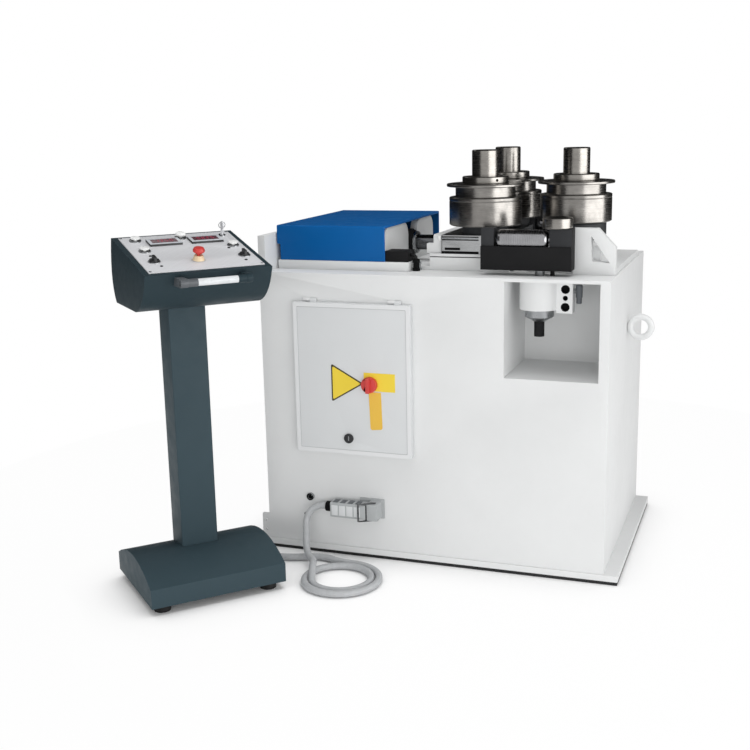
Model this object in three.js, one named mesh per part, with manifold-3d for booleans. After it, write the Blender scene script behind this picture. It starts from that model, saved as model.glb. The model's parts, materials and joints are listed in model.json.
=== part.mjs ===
// Three-roll section bender: welded cabinet, ram carriage with two driven rolls, a fixed third roll,
// lifting guide rolls front and rear, and a control console on its own pedestal.
// Millimetres. X runs along the front, Y to the back, Z up. The origin is under the middle of the base.

import * as THREE from 'three';
import { mergeVertices } from 'three/addons/utils/BufferGeometryUtils.js';
import Module from 'manifold-3d';

const wasm = await Module();
wasm.setup();

// Clearances shared by all pieces
const seatGap = 0.3;
const runningGap = 3;
const cutOverrun = 6;
const weldThrow = 4;
const facetShare = 1.01;

// Base and cabinet
const baseLength = 1200;
const baseDepth = 800;
const baseThickness = 20;
const stripThickness = 10;
const stripInset = 12;
const tableHeight = 950;
const tableThickness = 25;
const tableLip = 10;
const cabinetLeft = 584;
const cabinetRight = 556;
const cabinetDepth = 790;
const cabinetWall = 8;

// Recesses for the lift cylinders
const recessLeft = 235;
const recessRight = 526;
const recessDrop = 310;
const recessInner = 95;

// Electrical enclosure and its door
const doorWidth = 400;
const doorHeight = 500;
const doorLeft = 459;
const doorDrop = 91;
const doorThickness = 22;
const doorSheet = 3;
const doorLap = 14;
const enclosureDepth = 150;

// Roll stations
const pairX = 116;
const pairPitch = 311;
const centreRollX = 380;
const drumRadius = 116;
const drumHeight = 90;
const drumRise = 140;
const neckRadius = 96;
const neckHeight = 33;
const rimRadius = 124;
const rimThickness = 9;
const shaftRadius = 43;
const shaftRise = 377;
const shaftSeatRise = 50;
const collarRadius = 74;
const collarHeight = 22;
const bearingRadius = 70;
const flangeRadius = 75;
const anchorFlangeRadius = 100;
const gearboxRadius = 74;
const motorRadius = 45;
const housingHeight = 25;

// Carriage and ram
const carriageStroke = 90;
const carriageAdvance = 30;
const slabRise = 53;
const slabThickness = 59;
const slabMargin = 87.5;
const slabLeft = 8.6;
const railWidth = 16;
const bedPlate = 12;
const endPlateThickness = 30;
const ramRise = 62;
const ramRodRadius = 26;
const ramBarrelRadius = 46;
const ramBarrelLength = 297;
const ramCheekRight = 181.5;

// Ram hood
const hoodLeft = 556;
const hoodRight = 181;
const hoodHalfWidth = 306;
const hoodLift = 30;
const hoodHeight = 114;
const hoodSheet = 4;

// Stroke sensor beside the ram
const sensorY = 150;
const sensorRise = 50;
const sensorRadius = 14;

// Guide rolls
const guideReach = 147.5;
const guideLift = 60;
const yokeLeft = 145;
const yokeRight = 427;
const yokeDepth = 60;
const yokeRise = 17;
const lipRise = 90;
const guideRise = 144;
const supportRollRadius = 31;
const supportRollRise = 109;
const supportRollLeft = 191;
const supportRollRight = 352;
const supportJournal = 14;
const sideRollX = 379;
const sideRollRadius = 46;
const sideRollHeight = 34;
const liftX = 326;
const liftRadius = 62;
const liftRodRadius = 15;
const pegRadius = 7;
const pegX = 365;
const pegDrop = 80;

// Anchor of the fixed roll
const anchorLeft = 421;
const anchorRight = 550;
const anchorRise = 142;
const deckRise = 85;
const anchorClear = 5;
const cheekThickness = 30;

// Pedestal
const pedestalX = -690;
const pedestalReach = 329;
const pedestalTurn = THREE.MathUtils.degToRad(47);
const footHeight = 25;
const skirtHeight = 60;
const plinthWidth = 430;
const plinthFront = 225;
const plinthRear = 140;
const plinthCrown = 50;
const columnSize = 100;
const columnWidth = 116;
const consoleWidth = 376;
const consoleFront = 285;
const consoleRear = 55;
const consoleFrontHeight = 1023;
const consoleRearRise = 77;
const consoleDrop = 115;

// Conduit between cabinet and pedestal
const conduitRadius = 11.5;

const blankMaterials = {
  paint: { color: 0xd9dbda, roughness: 0.55, metalness: 0 },
  door: { color: 0xcccecd, roughness: 0.5, metalness: 0 },
  blue: { color: 0x005496, roughness: 0.4, metalness: 0 },
  steel: { color: 0x8c8a85, roughness: 0.35, metalness: 0.9 },
  bright: { color: 0xc9cacb, roughness: 0.2, metalness: 1 },
  black: { color: 0x1c1c1d, roughness: 0.5, metalness: 0.1 },
  casting: { color: 0x33363a, roughness: 0.6, metalness: 0.4 },
  slate: { color: 0x3b4b53, roughness: 0.5, metalness: 0 },
  panel: { color: 0xc8cbce, roughness: 0.4, metalness: 0.5 },
  red: { color: 0xc62a2f, roughness: 0.4, metalness: 0 },
  grey: { color: 0xa9acad, roughness: 0.5, metalness: 0.3 },
  white: { color: 0xf0f0ee, roughness: 0.4, metalness: 0 },
  conduit: { color: 0xb4b6b8, roughness: 0.45, metalness: 0.1 },
};

const machine = new THREE.Group();

function place(parent, name, geometry, look) {
  const mesh = new THREE.Mesh(geometry, new THREE.MeshStandardMaterial(blankMaterials[look]));
  mesh.name = name;
  parent.add(mesh);
  return mesh;
}

// Geometry to solid and back
function toSolid(geometry) {
  const bare = geometry.clone();
  bare.deleteAttribute('normal');
  bare.deleteAttribute('uv');
  const merged = mergeVertices(bare);
  const index = merged.index.array;
  const faces = [];
  for (let i = 0; i < index.length; i += 3) {
    const [a, b, c] = [index[i], index[i + 1], index[i + 2]];
    if (a !== b && b !== c && c !== a) faces.push(a, b, c);
  }
  return new wasm.Manifold(new wasm.Mesh({
    numProp: 3,
    vertProperties: Float32Array.from(merged.attributes.position.array),
    triVerts: Uint32Array.from(faces),
  }));
}

function toGeometry(solid) {
  const { vertProperties, triVerts } = solid.getMesh();
  const geometry = new THREE.BufferGeometry();
  geometry.setAttribute('position', new THREE.BufferAttribute(Float32Array.from(vertProperties), 3));
  geometry.setIndex(new THREE.BufferAttribute(Uint32Array.from(triVerts), 1));
  return geometry;
}

const join = (...solids) => solids.reduce((all, next) => all.add(next));
const cut = (solid, ...tools) => tools.reduce((left, tool) => left.subtract(tool), solid);

// Basic forms, each placed in the frame by its limits
function block([x0, x1], [y0, y1], [z0, z1]) {
  const geometry = new THREE.BoxGeometry(x1 - x0, y1 - y0, z1 - z0);
  geometry.translate((x0 + x1) / 2, (y0 + y1) / 2, (z0 + z1) / 2);
  return toSolid(geometry);
}

// A profile of [radius, height] points turned about the vertical through (x, y)
function turned(profile, segments, x = 0, y = 0) {
  const points = profile.map(([radius, height]) => new THREE.Vector2(radius, height));
  const geometry = new THREE.LatheGeometry(points, segments);
  geometry.rotateX(Math.PI / 2);
  geometry.translate(x, y, 0);
  return geometry;
}

// The same profile turned about a line along X, heights running along +X
function turnedAlongX(profile, segments, y, z) {
  const geometry = turned(profile, segments);
  geometry.rotateY(Math.PI / 2);
  geometry.translate(0, y, z);
  return geometry;
}

// The same profile turned about a line along Y, heights running towards the front
function turnedTowardsFront(profile, segments, x, z) {
  const geometry = turned(profile, segments);
  geometry.rotateX(Math.PI / 2);
  geometry.translate(x, 0, z);
  return geometry;
}

const rodProfile = (radius, low, high, chamfer = 0) => [
  [0, low],
  [radius - chamfer, low],
  ...(chamfer > 0 ? [[radius, low + chamfer], [radius, high - chamfer]] : []),
  [radius - chamfer, high],
  [0, high],
];

const pinZ = (radius, low, high, segments, x, y) => toSolid(turned(rodProfile(radius, low, high), segments, x, y));
const pinX = (radius, low, high, segments, y, z) => toSolid(turnedAlongX(rodProfile(radius, low, high), segments, y, z));
const pinY = (radius, low, high, segments, x, z) => toSolid(
  turnedTowardsFront(rodProfile(radius, -high, -low), segments, x, z));

// An outline drawn in X and Y and raised in Z
function raised(shape, low, high, curveSegments = 8) {
  const geometry = new THREE.ExtrudeGeometry(shape, { depth: high - low, bevelEnabled: false, curveSegments });
  geometry.translate(0, 0, low);
  return toSolid(geometry);
}

// An outline drawn in X and Z and carried from one Y to another
function carriedAlongY(shape, near, far, curveSegments = 8) {
  const geometry = new THREE.ExtrudeGeometry(shape, { depth: far - near, bevelEnabled: false, curveSegments });
  geometry.rotateX(Math.PI / 2);
  geometry.translate(0, far, 0);
  return toSolid(geometry);
}

// An outline drawn in Y and Z and carried from one X to another
function carriedAlongX(shape, left, right, curveSegments = 8) {
  const geometry = new THREE.ExtrudeGeometry(shape, { depth: right - left, bevelEnabled: false, curveSegments });
  geometry.rotateX(Math.PI / 2);
  geometry.rotateZ(Math.PI / 2);
  geometry.translate(left, 0, 0);
  return toSolid(geometry);
}

function outline(points) {
  return new THREE.Shape(points.map(([a, b]) => new THREE.Vector2(a, b)));
}

function roundedOutline([a0, a1], [b0, b1], radius) {
  const shape = new THREE.Shape();
  shape.moveTo(a0 + radius, b0);
  shape.lineTo(a1 - radius, b0);
  shape.absarc(a1 - radius, b0 + radius, radius, -Math.PI / 2, 0);
  shape.lineTo(a1, b1 - radius);
  shape.absarc(a1 - radius, b1 - radius, radius, 0, Math.PI / 2);
  shape.lineTo(a0 + radius, b1);
  shape.absarc(a0 + radius, b1 - radius, radius, Math.PI / 2, Math.PI);
  shape.lineTo(a0, b0 + radius);
  shape.absarc(a0 + radius, b0 + radius, radius, Math.PI, Math.PI * 1.5);
  return shape;
}

const mirroredY = (geometry) => {
  const copy = geometry.clone();
  copy.scale(1, -1, 1);
  const index = copy.index.array;
  for (let i = 0; i < index.length; i += 3) [index[i], index[i + 1]] = [index[i + 1], index[i]];
  return copy;
};

// Places that follow from the driving sizes
const basePlateFloor = stripThickness + seatGap;
const basePlateTop = basePlateFloor + baseThickness;
const cabinetFloor = basePlateTop + seatGap;
const frontY = -cabinetDepth / 2;
const rearY = cabinetDepth / 2;
const pedestalY = frontY - pedestalReach;
const consoleRearHeight = consoleFrontHeight + consoleRearRise;
const consoleFloor = consoleFrontHeight - consoleDrop;
const recessFloor = tableHeight - recessDrop;
const doorBottom = tableHeight - doorDrop - doorHeight;
const drumFloor = tableHeight + drumRise;
const shaftTop = tableHeight + shaftRise;
const shaftSeat = tableHeight + shaftSeatRise;
const slabHalfWidth = pairPitch / 2 + slabMargin;
const guideY = pairPitch / 2 + guideReach;
const anchorHalfWidth = guideY - yokeDepth / 2 - anchorClear;
const slabFloor = tableHeight + slabRise;
const slabTop = slabFloor + slabThickness;
const ramHeight = tableHeight + ramRise;
const hoodFloor = tableHeight + hoodLift;
const hoodTop = hoodFloor + hoodHeight;
const sensorHeight = tableHeight + sensorRise;
const yokeFloor = tableHeight + yokeRise;
const yokeLip = tableHeight + lipRise;
const guideTop = tableHeight + guideRise;
const supportRollHeight = tableHeight + supportRollRise;
const pegFloor = tableHeight - pegDrop;
const anchorTop = tableHeight + anchorRise;
const anchorDeck = tableHeight + deckRise;
const drumTop = drumFloor + drumHeight;
const rimFloor = drumTop + neckHeight;
const rimTop = rimFloor + rimThickness;
const housingTop = drumFloor - seatGap * 5;
const stationA = { x: pairX, y: -pairPitch / 2, keyTurn: 4, holeTurn: 44 };
const stationB = { x: pairX, y: pairPitch / 2, keyTurn: 110, holeTurn: 150 };
const stationC = { x: centreRollX, y: 0, keyTurn: 46, holeTurn: 170 };

// Base

function base() {
  const half = baseLength / 2;
  const deep = baseDepth / 2;
  const strip = block([-half + stripInset, half - stripInset], [-deep + stripInset, deep - stripInset],
    [0, stripThickness]);
  const plate = block([-half, half], [-deep, deep], [basePlateFloor, basePlateTop]);
  place(machine, 'base_strip', toGeometry(strip), 'black');
  place(machine, 'base_plate', toGeometry(plate), 'paint');
}

// Welded cabinet with two recesses, the electrical enclosure, table slots and the left upstand

function tableSlots() {
  const reach = gearboxRadius + runningGap;
  const tools = [stationA, stationB].map(({ x, y }) => block(
    [x - reach - carriageStroke, x + reach + carriageAdvance], [y - reach, y + reach],
    [tableHeight - tableThickness - cutOverrun, tableHeight + cutOverrun]));
  tools.push(pinZ(bearingRadius + runningGap, tableHeight - tableThickness - cutOverrun,
    tableHeight + cutOverrun, 24, stationC.x, stationC.y));
  return tools;
}

function cabinet() {
  const upstandRise = 117;
  const upstandThickness = 24;
  const lugReach = 26;
  const lugTop = 115;
  const lugThickness = 12;
  const lugHole = 5;
  const lugHoleLow = 58;
  const lugHoleHigh = 92;
  const recessRoof = tableHeight - tableLip;
  const outer = block([-cabinetLeft, cabinetRight], [frontY, rearY], [cabinetFloor, tableHeight]);
  const inner = block([-cabinetLeft + cabinetWall, cabinetRight - cabinetWall],
    [frontY + cabinetWall, rearY - cabinetWall],
    [cabinetFloor - cutOverrun, tableHeight - tableThickness]);
  let body = outer.subtract(inner);
  for (const side of [-1, 1]) {
    const wallY = [side * rearY, side * (recessInner - cabinetWall)].sort((a, b) => a - b);
    const openY = [side * (rearY + cutOverrun), side * recessInner].sort((a, b) => a - b);
    const liner = block([recessLeft - cabinetWall, recessRight + cabinetWall], wallY,
      [recessFloor - cabinetWall, tableHeight]);
    const hollow = block([recessLeft, recessRight], openY, [recessFloor, recessRoof]);
    body = body.add(liner).subtract(hollow);
    body = body.subtract(pinZ(liftRodRadius + seatGap * 2, recessRoof - cutOverrun, tableHeight + cutOverrun,
      20, liftX, side * guideY));
    body = body.subtract(pinZ(pegRadius + seatGap * 2, recessRoof - cutOverrun,
      tableHeight + cutOverrun, 12, pegX, side * guideY));
  }
  const enclosureX = [-doorLeft + doorLap, -doorLeft + doorWidth - doorLap];
  const enclosureZ = [doorBottom + doorLap, doorBottom + doorHeight - doorLap];
  const enclosure = block([enclosureX[0] - doorSheet, enclosureX[1] + doorSheet],
    [frontY, frontY + enclosureDepth + doorSheet], [enclosureZ[0] - doorSheet, enclosureZ[1] + doorSheet]);
  const enclosureHollow = block(enclosureX, [frontY - cutOverrun, frontY + enclosureDepth], enclosureZ);
  const upstand = block([-cabinetLeft, -cabinetLeft + upstandThickness], [frontY, rearY],
    [tableHeight - cutOverrun, tableHeight + upstandRise]);
  const lug = cut(
    block([-cabinetLeft - lugReach, -cabinetLeft + cabinetWall / 2], [frontY, frontY + lugThickness],
      [cabinetFloor, lugTop]),
    ...[lugHoleLow, lugHoleHigh].map((z) => pinY(lugHole, frontY - cutOverrun,
      frontY + lugThickness + cutOverrun, 10, -cabinetLeft - lugReach / 2, z)));
  body = cut(join(body, enclosure), enclosureHollow, ...tableSlots());
  body = join(body, upstand, lug, ...doorHingeBarrels());
  place(machine, 'cabinet_body', toGeometry(body), 'paint');
}

// Door on barrels along its upper edge, its lock and the main switch

const hingeRadius = 5;
const hingeBarrel = 22;
const hingeInset = 34;
const hingeStandOff = 2;
const hingeAxisZ = doorBottom + doorHeight + hingeRadius + hingeStandOff;
const hingeAxisY = frontY - hingeRadius - hingeStandOff;
const hingeCentres = [-doorLeft + hingeInset + hingeBarrel, -doorLeft + doorWidth - hingeInset - hingeBarrel];

function doorHingeBarrels() {
  return hingeCentres.map((x) => join(
    pinX(hingeRadius, x - hingeBarrel, x - seatGap / 2, 12, hingeAxisY, hingeAxisZ),
    block([x - hingeBarrel, x - seatGap / 2], [hingeAxisY, frontY + cabinetWall / 2],
      [hingeAxisZ, hingeAxisZ + hingeRadius])));
}

function door() {
  const cornerRadius = 6;
  const lockAcross = 185;
  const lockRise = 55;
  const lockRadius = 16;
  const switchAcross = 262;
  const switchRise = 240;
  const switchRadius = 26;
  const switchHeight = 30;
  const bossHeight = 6;
  const stemRadius = 6;
  const gripWidth = 12;
  const gripHeight = 14;
  const lockSlot = 4;
  const faceY = frontY - seatGap - doorThickness;
  const backY = frontY - seatGap;
  const lockX = -doorLeft + lockAcross;
  const lockZ = doorBottom + lockRise;
  const switchX = -doorLeft + switchAcross;
  const switchZ = doorBottom + switchRise;
  const xs = [-doorLeft, -doorLeft + doorWidth];
  const zs = [doorBottom, doorBottom + doorHeight];
  const skin = carriedAlongY(roundedOutline(xs, zs, cornerRadius), faceY, backY, 4);
  const hollow = block([xs[0] + doorSheet, xs[1] - doorSheet], [faceY + doorSheet, backY + cutOverrun],
    [zs[0] + doorSheet, zs[1] - doorSheet]);
  const knuckles = hingeCentres.map((x) => join(
    pinX(hingeRadius, x + seatGap / 2, x + hingeBarrel, 12, hingeAxisY, hingeAxisZ),
    block([x + seatGap / 2, x + hingeBarrel], [hingeAxisY - hingeRadius, hingeAxisY],
      [zs[1] - doorSheet, hingeAxisZ])));
  const holes = [[lockX, lockZ], [switchX, switchZ]].map(([x, z]) => pinY(stemRadius + seatGap,
    faceY - cutOverrun, faceY + doorSheet + cutOverrun, 16, x, z));
  const leaf = join(skin.subtract(hollow), ...knuckles).subtract(holes[0]).subtract(holes[1]);
  place(machine, 'cabinet_door', toGeometry(leaf), 'door');

  const seat = faceY - seatGap;
  const stemBack = faceY + doorSheet + gripWidth;
  const lock = cut(
    join(pinY(lockRadius, seat - bossHeight, seat, 20, lockX, lockZ),
      pinY(stemRadius, seat - bossHeight / 2, stemBack, 16, lockX, lockZ)),
    block([lockX - lockSlot / 2, lockX + lockSlot / 2], [seat - bossHeight - cutOverrun, seat - bossHeight / 2],
      [lockZ - lockRadius / 2, lockZ + lockRadius / 2]));
  place(machine, 'door_lock', toGeometry(lock), 'black');

  const knob = join(
    pinY(switchRadius, seat - switchHeight + gripHeight, seat, 24, switchX, switchZ),
    block([switchX - gripWidth / 2, switchX + gripWidth / 2], [seat - switchHeight, seat - bossHeight],
      [switchZ - switchRadius + weldThrow / 2, switchZ + switchRadius - weldThrow / 2]),
    pinY(stemRadius, seat - bossHeight, stemBack, 16, switchX, switchZ));
  place(machine, 'main_switch', toGeometry(knob), 'red');
}

// Mounting plate with contactors and terminals inside the enclosure

function mountingPlate() {
  const plateMargin = 12;
  const plateThickness = 3;
  const spacerRadius = 6;
  const spacerLength = 14;
  const rowHeight = 70;
  const moduleWidth = 42;
  const moduleDepth = 60;
  const terminalDepth = 34;
  const moduleCount = 6;
  const xs = [-doorLeft + doorLap + plateMargin, -doorLeft + doorWidth - doorLap - plateMargin];
  const zs = [doorBottom + doorLap + plateMargin, doorBottom + doorHeight - doorLap - plateMargin];
  const backY = frontY + enclosureDepth - seatGap;
  const plateY = [backY - spacerLength - plateThickness, backY - spacerLength];
  let plate = block(xs, plateY, zs);
  for (const x of [xs[0] + spacerRadius * 2, xs[1] - spacerRadius * 2]) {
    for (const z of [zs[0] + spacerRadius * 2, zs[1] - spacerRadius * 2]) {
      plate = plate.add(pinY(spacerRadius, plateY[0], backY, 10, x, z));
    }
  }
  const pitch = (xs[1] - xs[0]) / moduleCount;
  const upperRow = zs[1] - rowHeight * 2;
  for (let i = 0; i < moduleCount; i += 1) {
    const centre = xs[0] + pitch * (i + 0.5);
    plate = plate.add(block([centre - moduleWidth / 2, centre + moduleWidth / 2],
      [plateY[0] - moduleDepth, plateY[1]], [upperRow, upperRow + rowHeight]));
  }
  const strip = block([xs[0] + plateMargin, xs[1] - plateMargin], [plateY[0] - terminalDepth, plateY[1]],
    [zs[0] + rowHeight, zs[0] + rowHeight * 1.6]);
  place(machine, 'mounting_plate', toGeometry(plate.add(strip)), 'grey');
}

// Oil tank with its pump and motor on the cabinet floor

function hydraulicUnit() {
  const tankInset = 64;
  const tankClear = 115;
  const tankLength = 400;
  const tankDepth = 400;
  const tankTop = 330;
  const motorSpan = 240;
  const pumpMotorRadius = 80;
  const motorRise = 95;
  const valveSize = 110;
  const valveHeight = 90;
  const floorZ = basePlateTop + seatGap;
  const tankX = [-cabinetLeft + tankInset, -cabinetLeft + tankInset + tankLength];
  const tankY = [rearY - tankClear - tankDepth, rearY - tankClear];
  const motorY = (tankY[0] + tankY[1]) / 2;
  const motorX = tankX[0] + motorSpan / 4;
  const unit = join(
    block(tankX, tankY, [floorZ, tankTop]),
    pinX(pumpMotorRadius, motorX, motorX + motorSpan, 24, motorY, tankTop + motorRise),
    block([motorX + motorSpan / 4, motorX + motorSpan * 0.75],
      [motorY - pumpMotorRadius / 2, motorY + pumpMotorRadius / 2], [tankTop - weldThrow, tankTop + motorRise]),
    block([tankX[1] - valveSize - weldThrow, tankX[1] - weldThrow], [motorY - valveSize / 2, motorY + valveSize / 2],
      [tankTop - weldThrow, tankTop + valveHeight]));
  place(machine, 'hydraulic_unit', toGeometry(unit), 'casting');
}

// Bed under the hood: plate, saddles and the two rounded cheeks that hold the ram's front end

function ramBed() {
  const cheekNear = 50;
  const frontCheekFar = 296;
  const rearCheekFar = 237;
  const cheekRise = 138;
  const cheekRound = 46;
  const cheekWidth = 26;
  const bedInset = 30;
  const saddleLength = 40;
  const saddleInset = 70;
  const saddleHalf = 40;
  const tongueLeft = 194;
  const tongueRight = 98;
  const tongueInset = 15;
  const glandLength = 8;
  const saddleTop = ramHeight - ramBarrelRadius / 3;
  const floorZ = tableHeight + seatGap;
  const plateTop = hoodFloor - seatGap;
  const cheekTop = tableHeight + cheekRise;
  let bed = join(
    block([-cabinetLeft + bedInset, -ramCheekRight], [-hoodHalfWidth, hoodHalfWidth], [floorZ, plateTop]),
    block([-tongueLeft, -tongueRight], [-hoodHalfWidth, -slabHalfWidth + tongueInset], [floorZ, plateTop]));
  for (const ys of [[-frontCheekFar, -cheekNear], [cheekNear, rearCheekFar]]) {
    const shape = new THREE.Shape();
    shape.moveTo(ys[0], plateTop - weldThrow);
    shape.lineTo(ys[1], plateTop - weldThrow);
    shape.lineTo(ys[1], cheekTop - cheekRound);
    shape.absarc(ys[1] - cheekRound, cheekTop - cheekRound, cheekRound, 0, Math.PI / 2);
    shape.lineTo(ys[0] + cheekRound, cheekTop);
    shape.absarc(ys[0] + cheekRound, cheekTop - cheekRound, cheekRound, Math.PI / 2, Math.PI);
    bed = bed.add(carriedAlongX(shape, -ramCheekRight - cheekWidth, -ramCheekRight, 6));
  }
  const barrelEnd = ramCheekRight + ramBarrelLength;
  for (const x of [-barrelEnd + saddleInset, -ramCheekRight - saddleInset - saddleLength]) {
    bed = bed.add(block([x, x + saddleLength], [-saddleHalf, saddleHalf], [plateTop - weldThrow, saddleTop]));
  }
  bed = cut(bed,
    pinX(ramBarrelRadius + seatGap, -barrelEnd - cutOverrun, -ramCheekRight + glandLength + cutOverrun, 28,
      0, ramHeight),
    pinX(sensorRadius + runningGap, -ramCheekRight - cheekWidth - cutOverrun, -ramCheekRight + cutOverrun,
      20, sensorY, sensorHeight));
  place(machine, 'ram_bed', toGeometry(bed), 'paint');

  const boreDepth = 240;
  const glandStep = 5;
  const bore = ramRodRadius + seatGap;
  const right = -ramCheekRight + glandLength;
  const profile = [
    [0, -barrelEnd],
    [ramBarrelRadius, -barrelEnd],
    [ramBarrelRadius, -ramCheekRight],
    [ramBarrelRadius - glandStep, -ramCheekRight],
    [ramBarrelRadius - glandStep, right],
    [bore, right],
    [bore, right - boreDepth],
    [0, right - boreDepth],
  ];
  place(machine, 'ram_cylinder', turnedAlongX(profile, 28, 0, ramHeight), 'black');
}

// Black stop block on the bed's front tongue, met by the slab at the end of its stroke

function ramBuffer() {
  const bufferFar = 300;
  const bufferInset = 13;
  const height = 34;
  const xs = [-hoodRight + seatGap, -slabLeft - carriageStroke - runningGap];
  const bar = block(xs, [-bufferFar, -slabHalfWidth + bufferInset], [hoodFloor, hoodFloor + height]);
  place(machine, 'ram_buffer', toGeometry(bar), 'black');
}

// Folded hood, open below and to the right

function hood() {
  const jogRise = 52;
  const jogDepth = 11;
  const edgeRadius = 6;
  const jogHeight = hoodFloor + jogRise;
  const inside = hoodHalfWidth - hoodSheet;
  const skinShape = roundedOutline([-hoodHalfWidth, hoodHalfWidth], [hoodFloor, hoodTop], edgeRadius);
  const innerShape = roundedOutline([-inside, inside], [hoodFloor - cutOverrun * 2, hoodTop - hoodSheet],
    edgeRadius / 2);
  const squareFoot = block([-hoodLeft, -hoodRight], [-hoodHalfWidth, hoodHalfWidth],
    [hoodFloor, hoodFloor + edgeRadius * 2]);
  const skin = join(carriedAlongX(skinShape, -hoodLeft, -hoodRight, 4), squareFoot);
  const jog = block([-hoodLeft - cutOverrun, -hoodLeft + jogDepth],
    [-hoodHalfWidth - cutOverrun, hoodHalfWidth + cutOverrun], [hoodFloor - cutOverrun, jogHeight]);
  const openEnd = -hoodRight + cutOverrun;
  const hollowUpper = block([-hoodLeft + hoodSheet, openEnd], [-inside, inside],
    [jogHeight - cutOverrun, hoodTop - hoodSheet]);
  const hollowLower = carriedAlongX(innerShape, -hoodLeft + jogDepth + hoodSheet, openEnd, 4);
  const shell = cut(skin, jog, hollowUpper.subtract(jogStep(jogHeight, jogDepth)), hollowLower);
  place(machine, 'ram_hood', toGeometry(shell), 'blue');
}

// Sheet left standing where the hood's left wall steps in
function jogStep(jogHeight, jogDepth) {
  return block([-hoodLeft - cutOverrun, -hoodLeft + jogDepth + hoodSheet], [-hoodHalfWidth, hoodHalfWidth],
    [jogHeight - cutOverrun * 2, jogHeight + hoodSheet]);
}

// Slide bed: a slotted plate with two stepped rails

function slideBed() {
  const plateLeft = 75;
  const railLeft = 46;
  const railRight = 215;
  const railStep = 4;
  const railStepRise = 41;
  const floorZ = tableHeight + seatGap;
  const plateTop = tableHeight + bedPlate;
  const railOuter = slabHalfWidth + runningGap;
  const railInner = railOuter - railWidth;
  const railStepHeight = tableHeight + railStepRise;
  let bed = block([-plateLeft, railRight], [-railOuter, railOuter], [floorZ, plateTop]);
  for (const side of [-1, 1]) {
    const lower = [side * railInner, side * railOuter].sort((a, b) => a - b);
    const upper = [side * railInner, side * (railOuter - railStep)].sort((a, b) => a - b);
    bed = join(bed, block([-railLeft, railRight], lower, [plateTop - weldThrow, railStepHeight]),
      block([-railLeft, railRight], upper, [railStepHeight - weldThrow, slabFloor - seatGap]));
  }
  const reach = bearingRadius + runningGap;
  for (const { x, y } of [stationA, stationB]) {
    bed = bed.subtract(block([x - reach - carriageStroke, railRight + cutOverrun], [y - reach, y + reach],
      [floorZ - cutOverrun, plateTop + cutOverrun]));
  }
  place(machine, 'slide_bed', toGeometry(bed), 'paint');
}

// Carriage: slab with two bearing bores, end plate, ram rod and stroke sensor

const carriage = new THREE.Group();
machine.add(carriage);

function carriageSlab() {
  const cornerRadius = slabMargin;
  const leftRound = 4;
  const grooveDepth = 8;
  const grooveFromTop = [16, 3];
  const barRadius = 5.5;
  const undercutDepth = 3;
  const undercutRise = 8.6;
  const pocketX = [4, 55];
  const pocketFromFloor = [12, 20];
  const pocketDepth = 3;
  const grooveZ = grooveFromTop.map((depth) => slabTop - depth);
  const pocketZ = pocketFromFloor.map((rise) => slabFloor + rise);
  const shape = new THREE.Shape();
  shape.moveTo(-slabLeft + leftRound, -slabHalfWidth);
  shape.lineTo(pairX, -slabHalfWidth);
  shape.absarc(pairX, stationA.y, cornerRadius, -Math.PI / 2, 0);
  shape.lineTo(pairX + cornerRadius, stationB.y);
  shape.absarc(pairX, stationB.y, cornerRadius, 0, Math.PI / 2);
  shape.lineTo(-slabLeft + leftRound, slabHalfWidth);
  shape.lineTo(-slabLeft, slabHalfWidth - leftRound);
  shape.lineTo(-slabLeft, -slabHalfWidth + leftRound);
  let slab = raised(shape, slabFloor, slabTop, 7);
  for (const { x, y } of [stationA, stationB]) {
    slab = slab.subtract(pinZ(bearingRadius * facetShare + seatGap, slabFloor - cutOverrun, slabTop + cutOverrun,
      24, x, y));
  }
  const sideCut = (side, depth, xs, zs) => block(xs,
    [side * (slabHalfWidth - depth), side * (slabHalfWidth + cutOverrun)].sort((a, b) => a - b), zs);
  const sideX = [-slabLeft - cutOverrun, pairX];
  for (const side of [-1, 1]) {
    slab = cut(slab, sideCut(side, grooveDepth, sideX, grooveZ),
      sideCut(side, undercutDepth, sideX, [slabFloor - cutOverrun, slabFloor + undercutRise]));
    slab = slab.add(pinX(barRadius, -slabLeft, pairX + weldThrow, 14, side * (slabHalfWidth - barRadius),
      (grooveZ[0] + grooveZ[1]) / 2));
  }
  slab = slab.subtract(sideCut(-1, pocketDepth, pocketX, pocketZ));
  place(carriage, 'carriage_slab', toGeometry(slab), 'bright');
}

function carriageEndPlate() {
  const plateRise = 15;
  const lugReach = 23;
  const lugWidth = 24;
  const lugFromSlab = [-1, 30];
  const halfWidth = slabHalfWidth - railWidth - runningGap;
  const edge = 8;
  const right = -slabLeft - seatGap;
  const left = right - endPlateThickness;
  const plate = carriedAlongX(roundedOutline([-halfWidth, halfWidth], [tableHeight + plateRise, slabTop], edge),
    left, right, 3);
  const lug = block([left - lugReach, left + weldThrow], [-halfWidth, -halfWidth + lugWidth],
    lugFromSlab.map((rise) => slabFloor + rise));
  place(carriage, 'carriage_end_plate', toGeometry(plate.add(lug)), 'paint');

  const rodEnd = left - seatGap;
  const rodLength = 250;
  place(carriage, 'ram_rod', turnedAlongX(rodProfile(ramRodRadius, rodEnd - rodLength, rodEnd), 28, 0, ramHeight),
    'bright');

  const bodyLength = 66;
  const capLength = 12;
  const capRadius = sensorRadius * 0.8;
  const sensor = [
    [0, rodEnd - bodyLength - capLength],
    [capRadius, rodEnd - bodyLength - capLength],
    [capRadius, rodEnd - bodyLength],
    [sensorRadius, rodEnd - bodyLength],
    [sensorRadius, rodEnd],
    [0, rodEnd],
  ];
  place(carriage, 'stroke_sensor', turnedAlongX(sensor, 20, sensorY, sensorHeight), 'casting');
}

// A drive unit: bearing housing on top, gearbox and hydraulic motor hanging below

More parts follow.
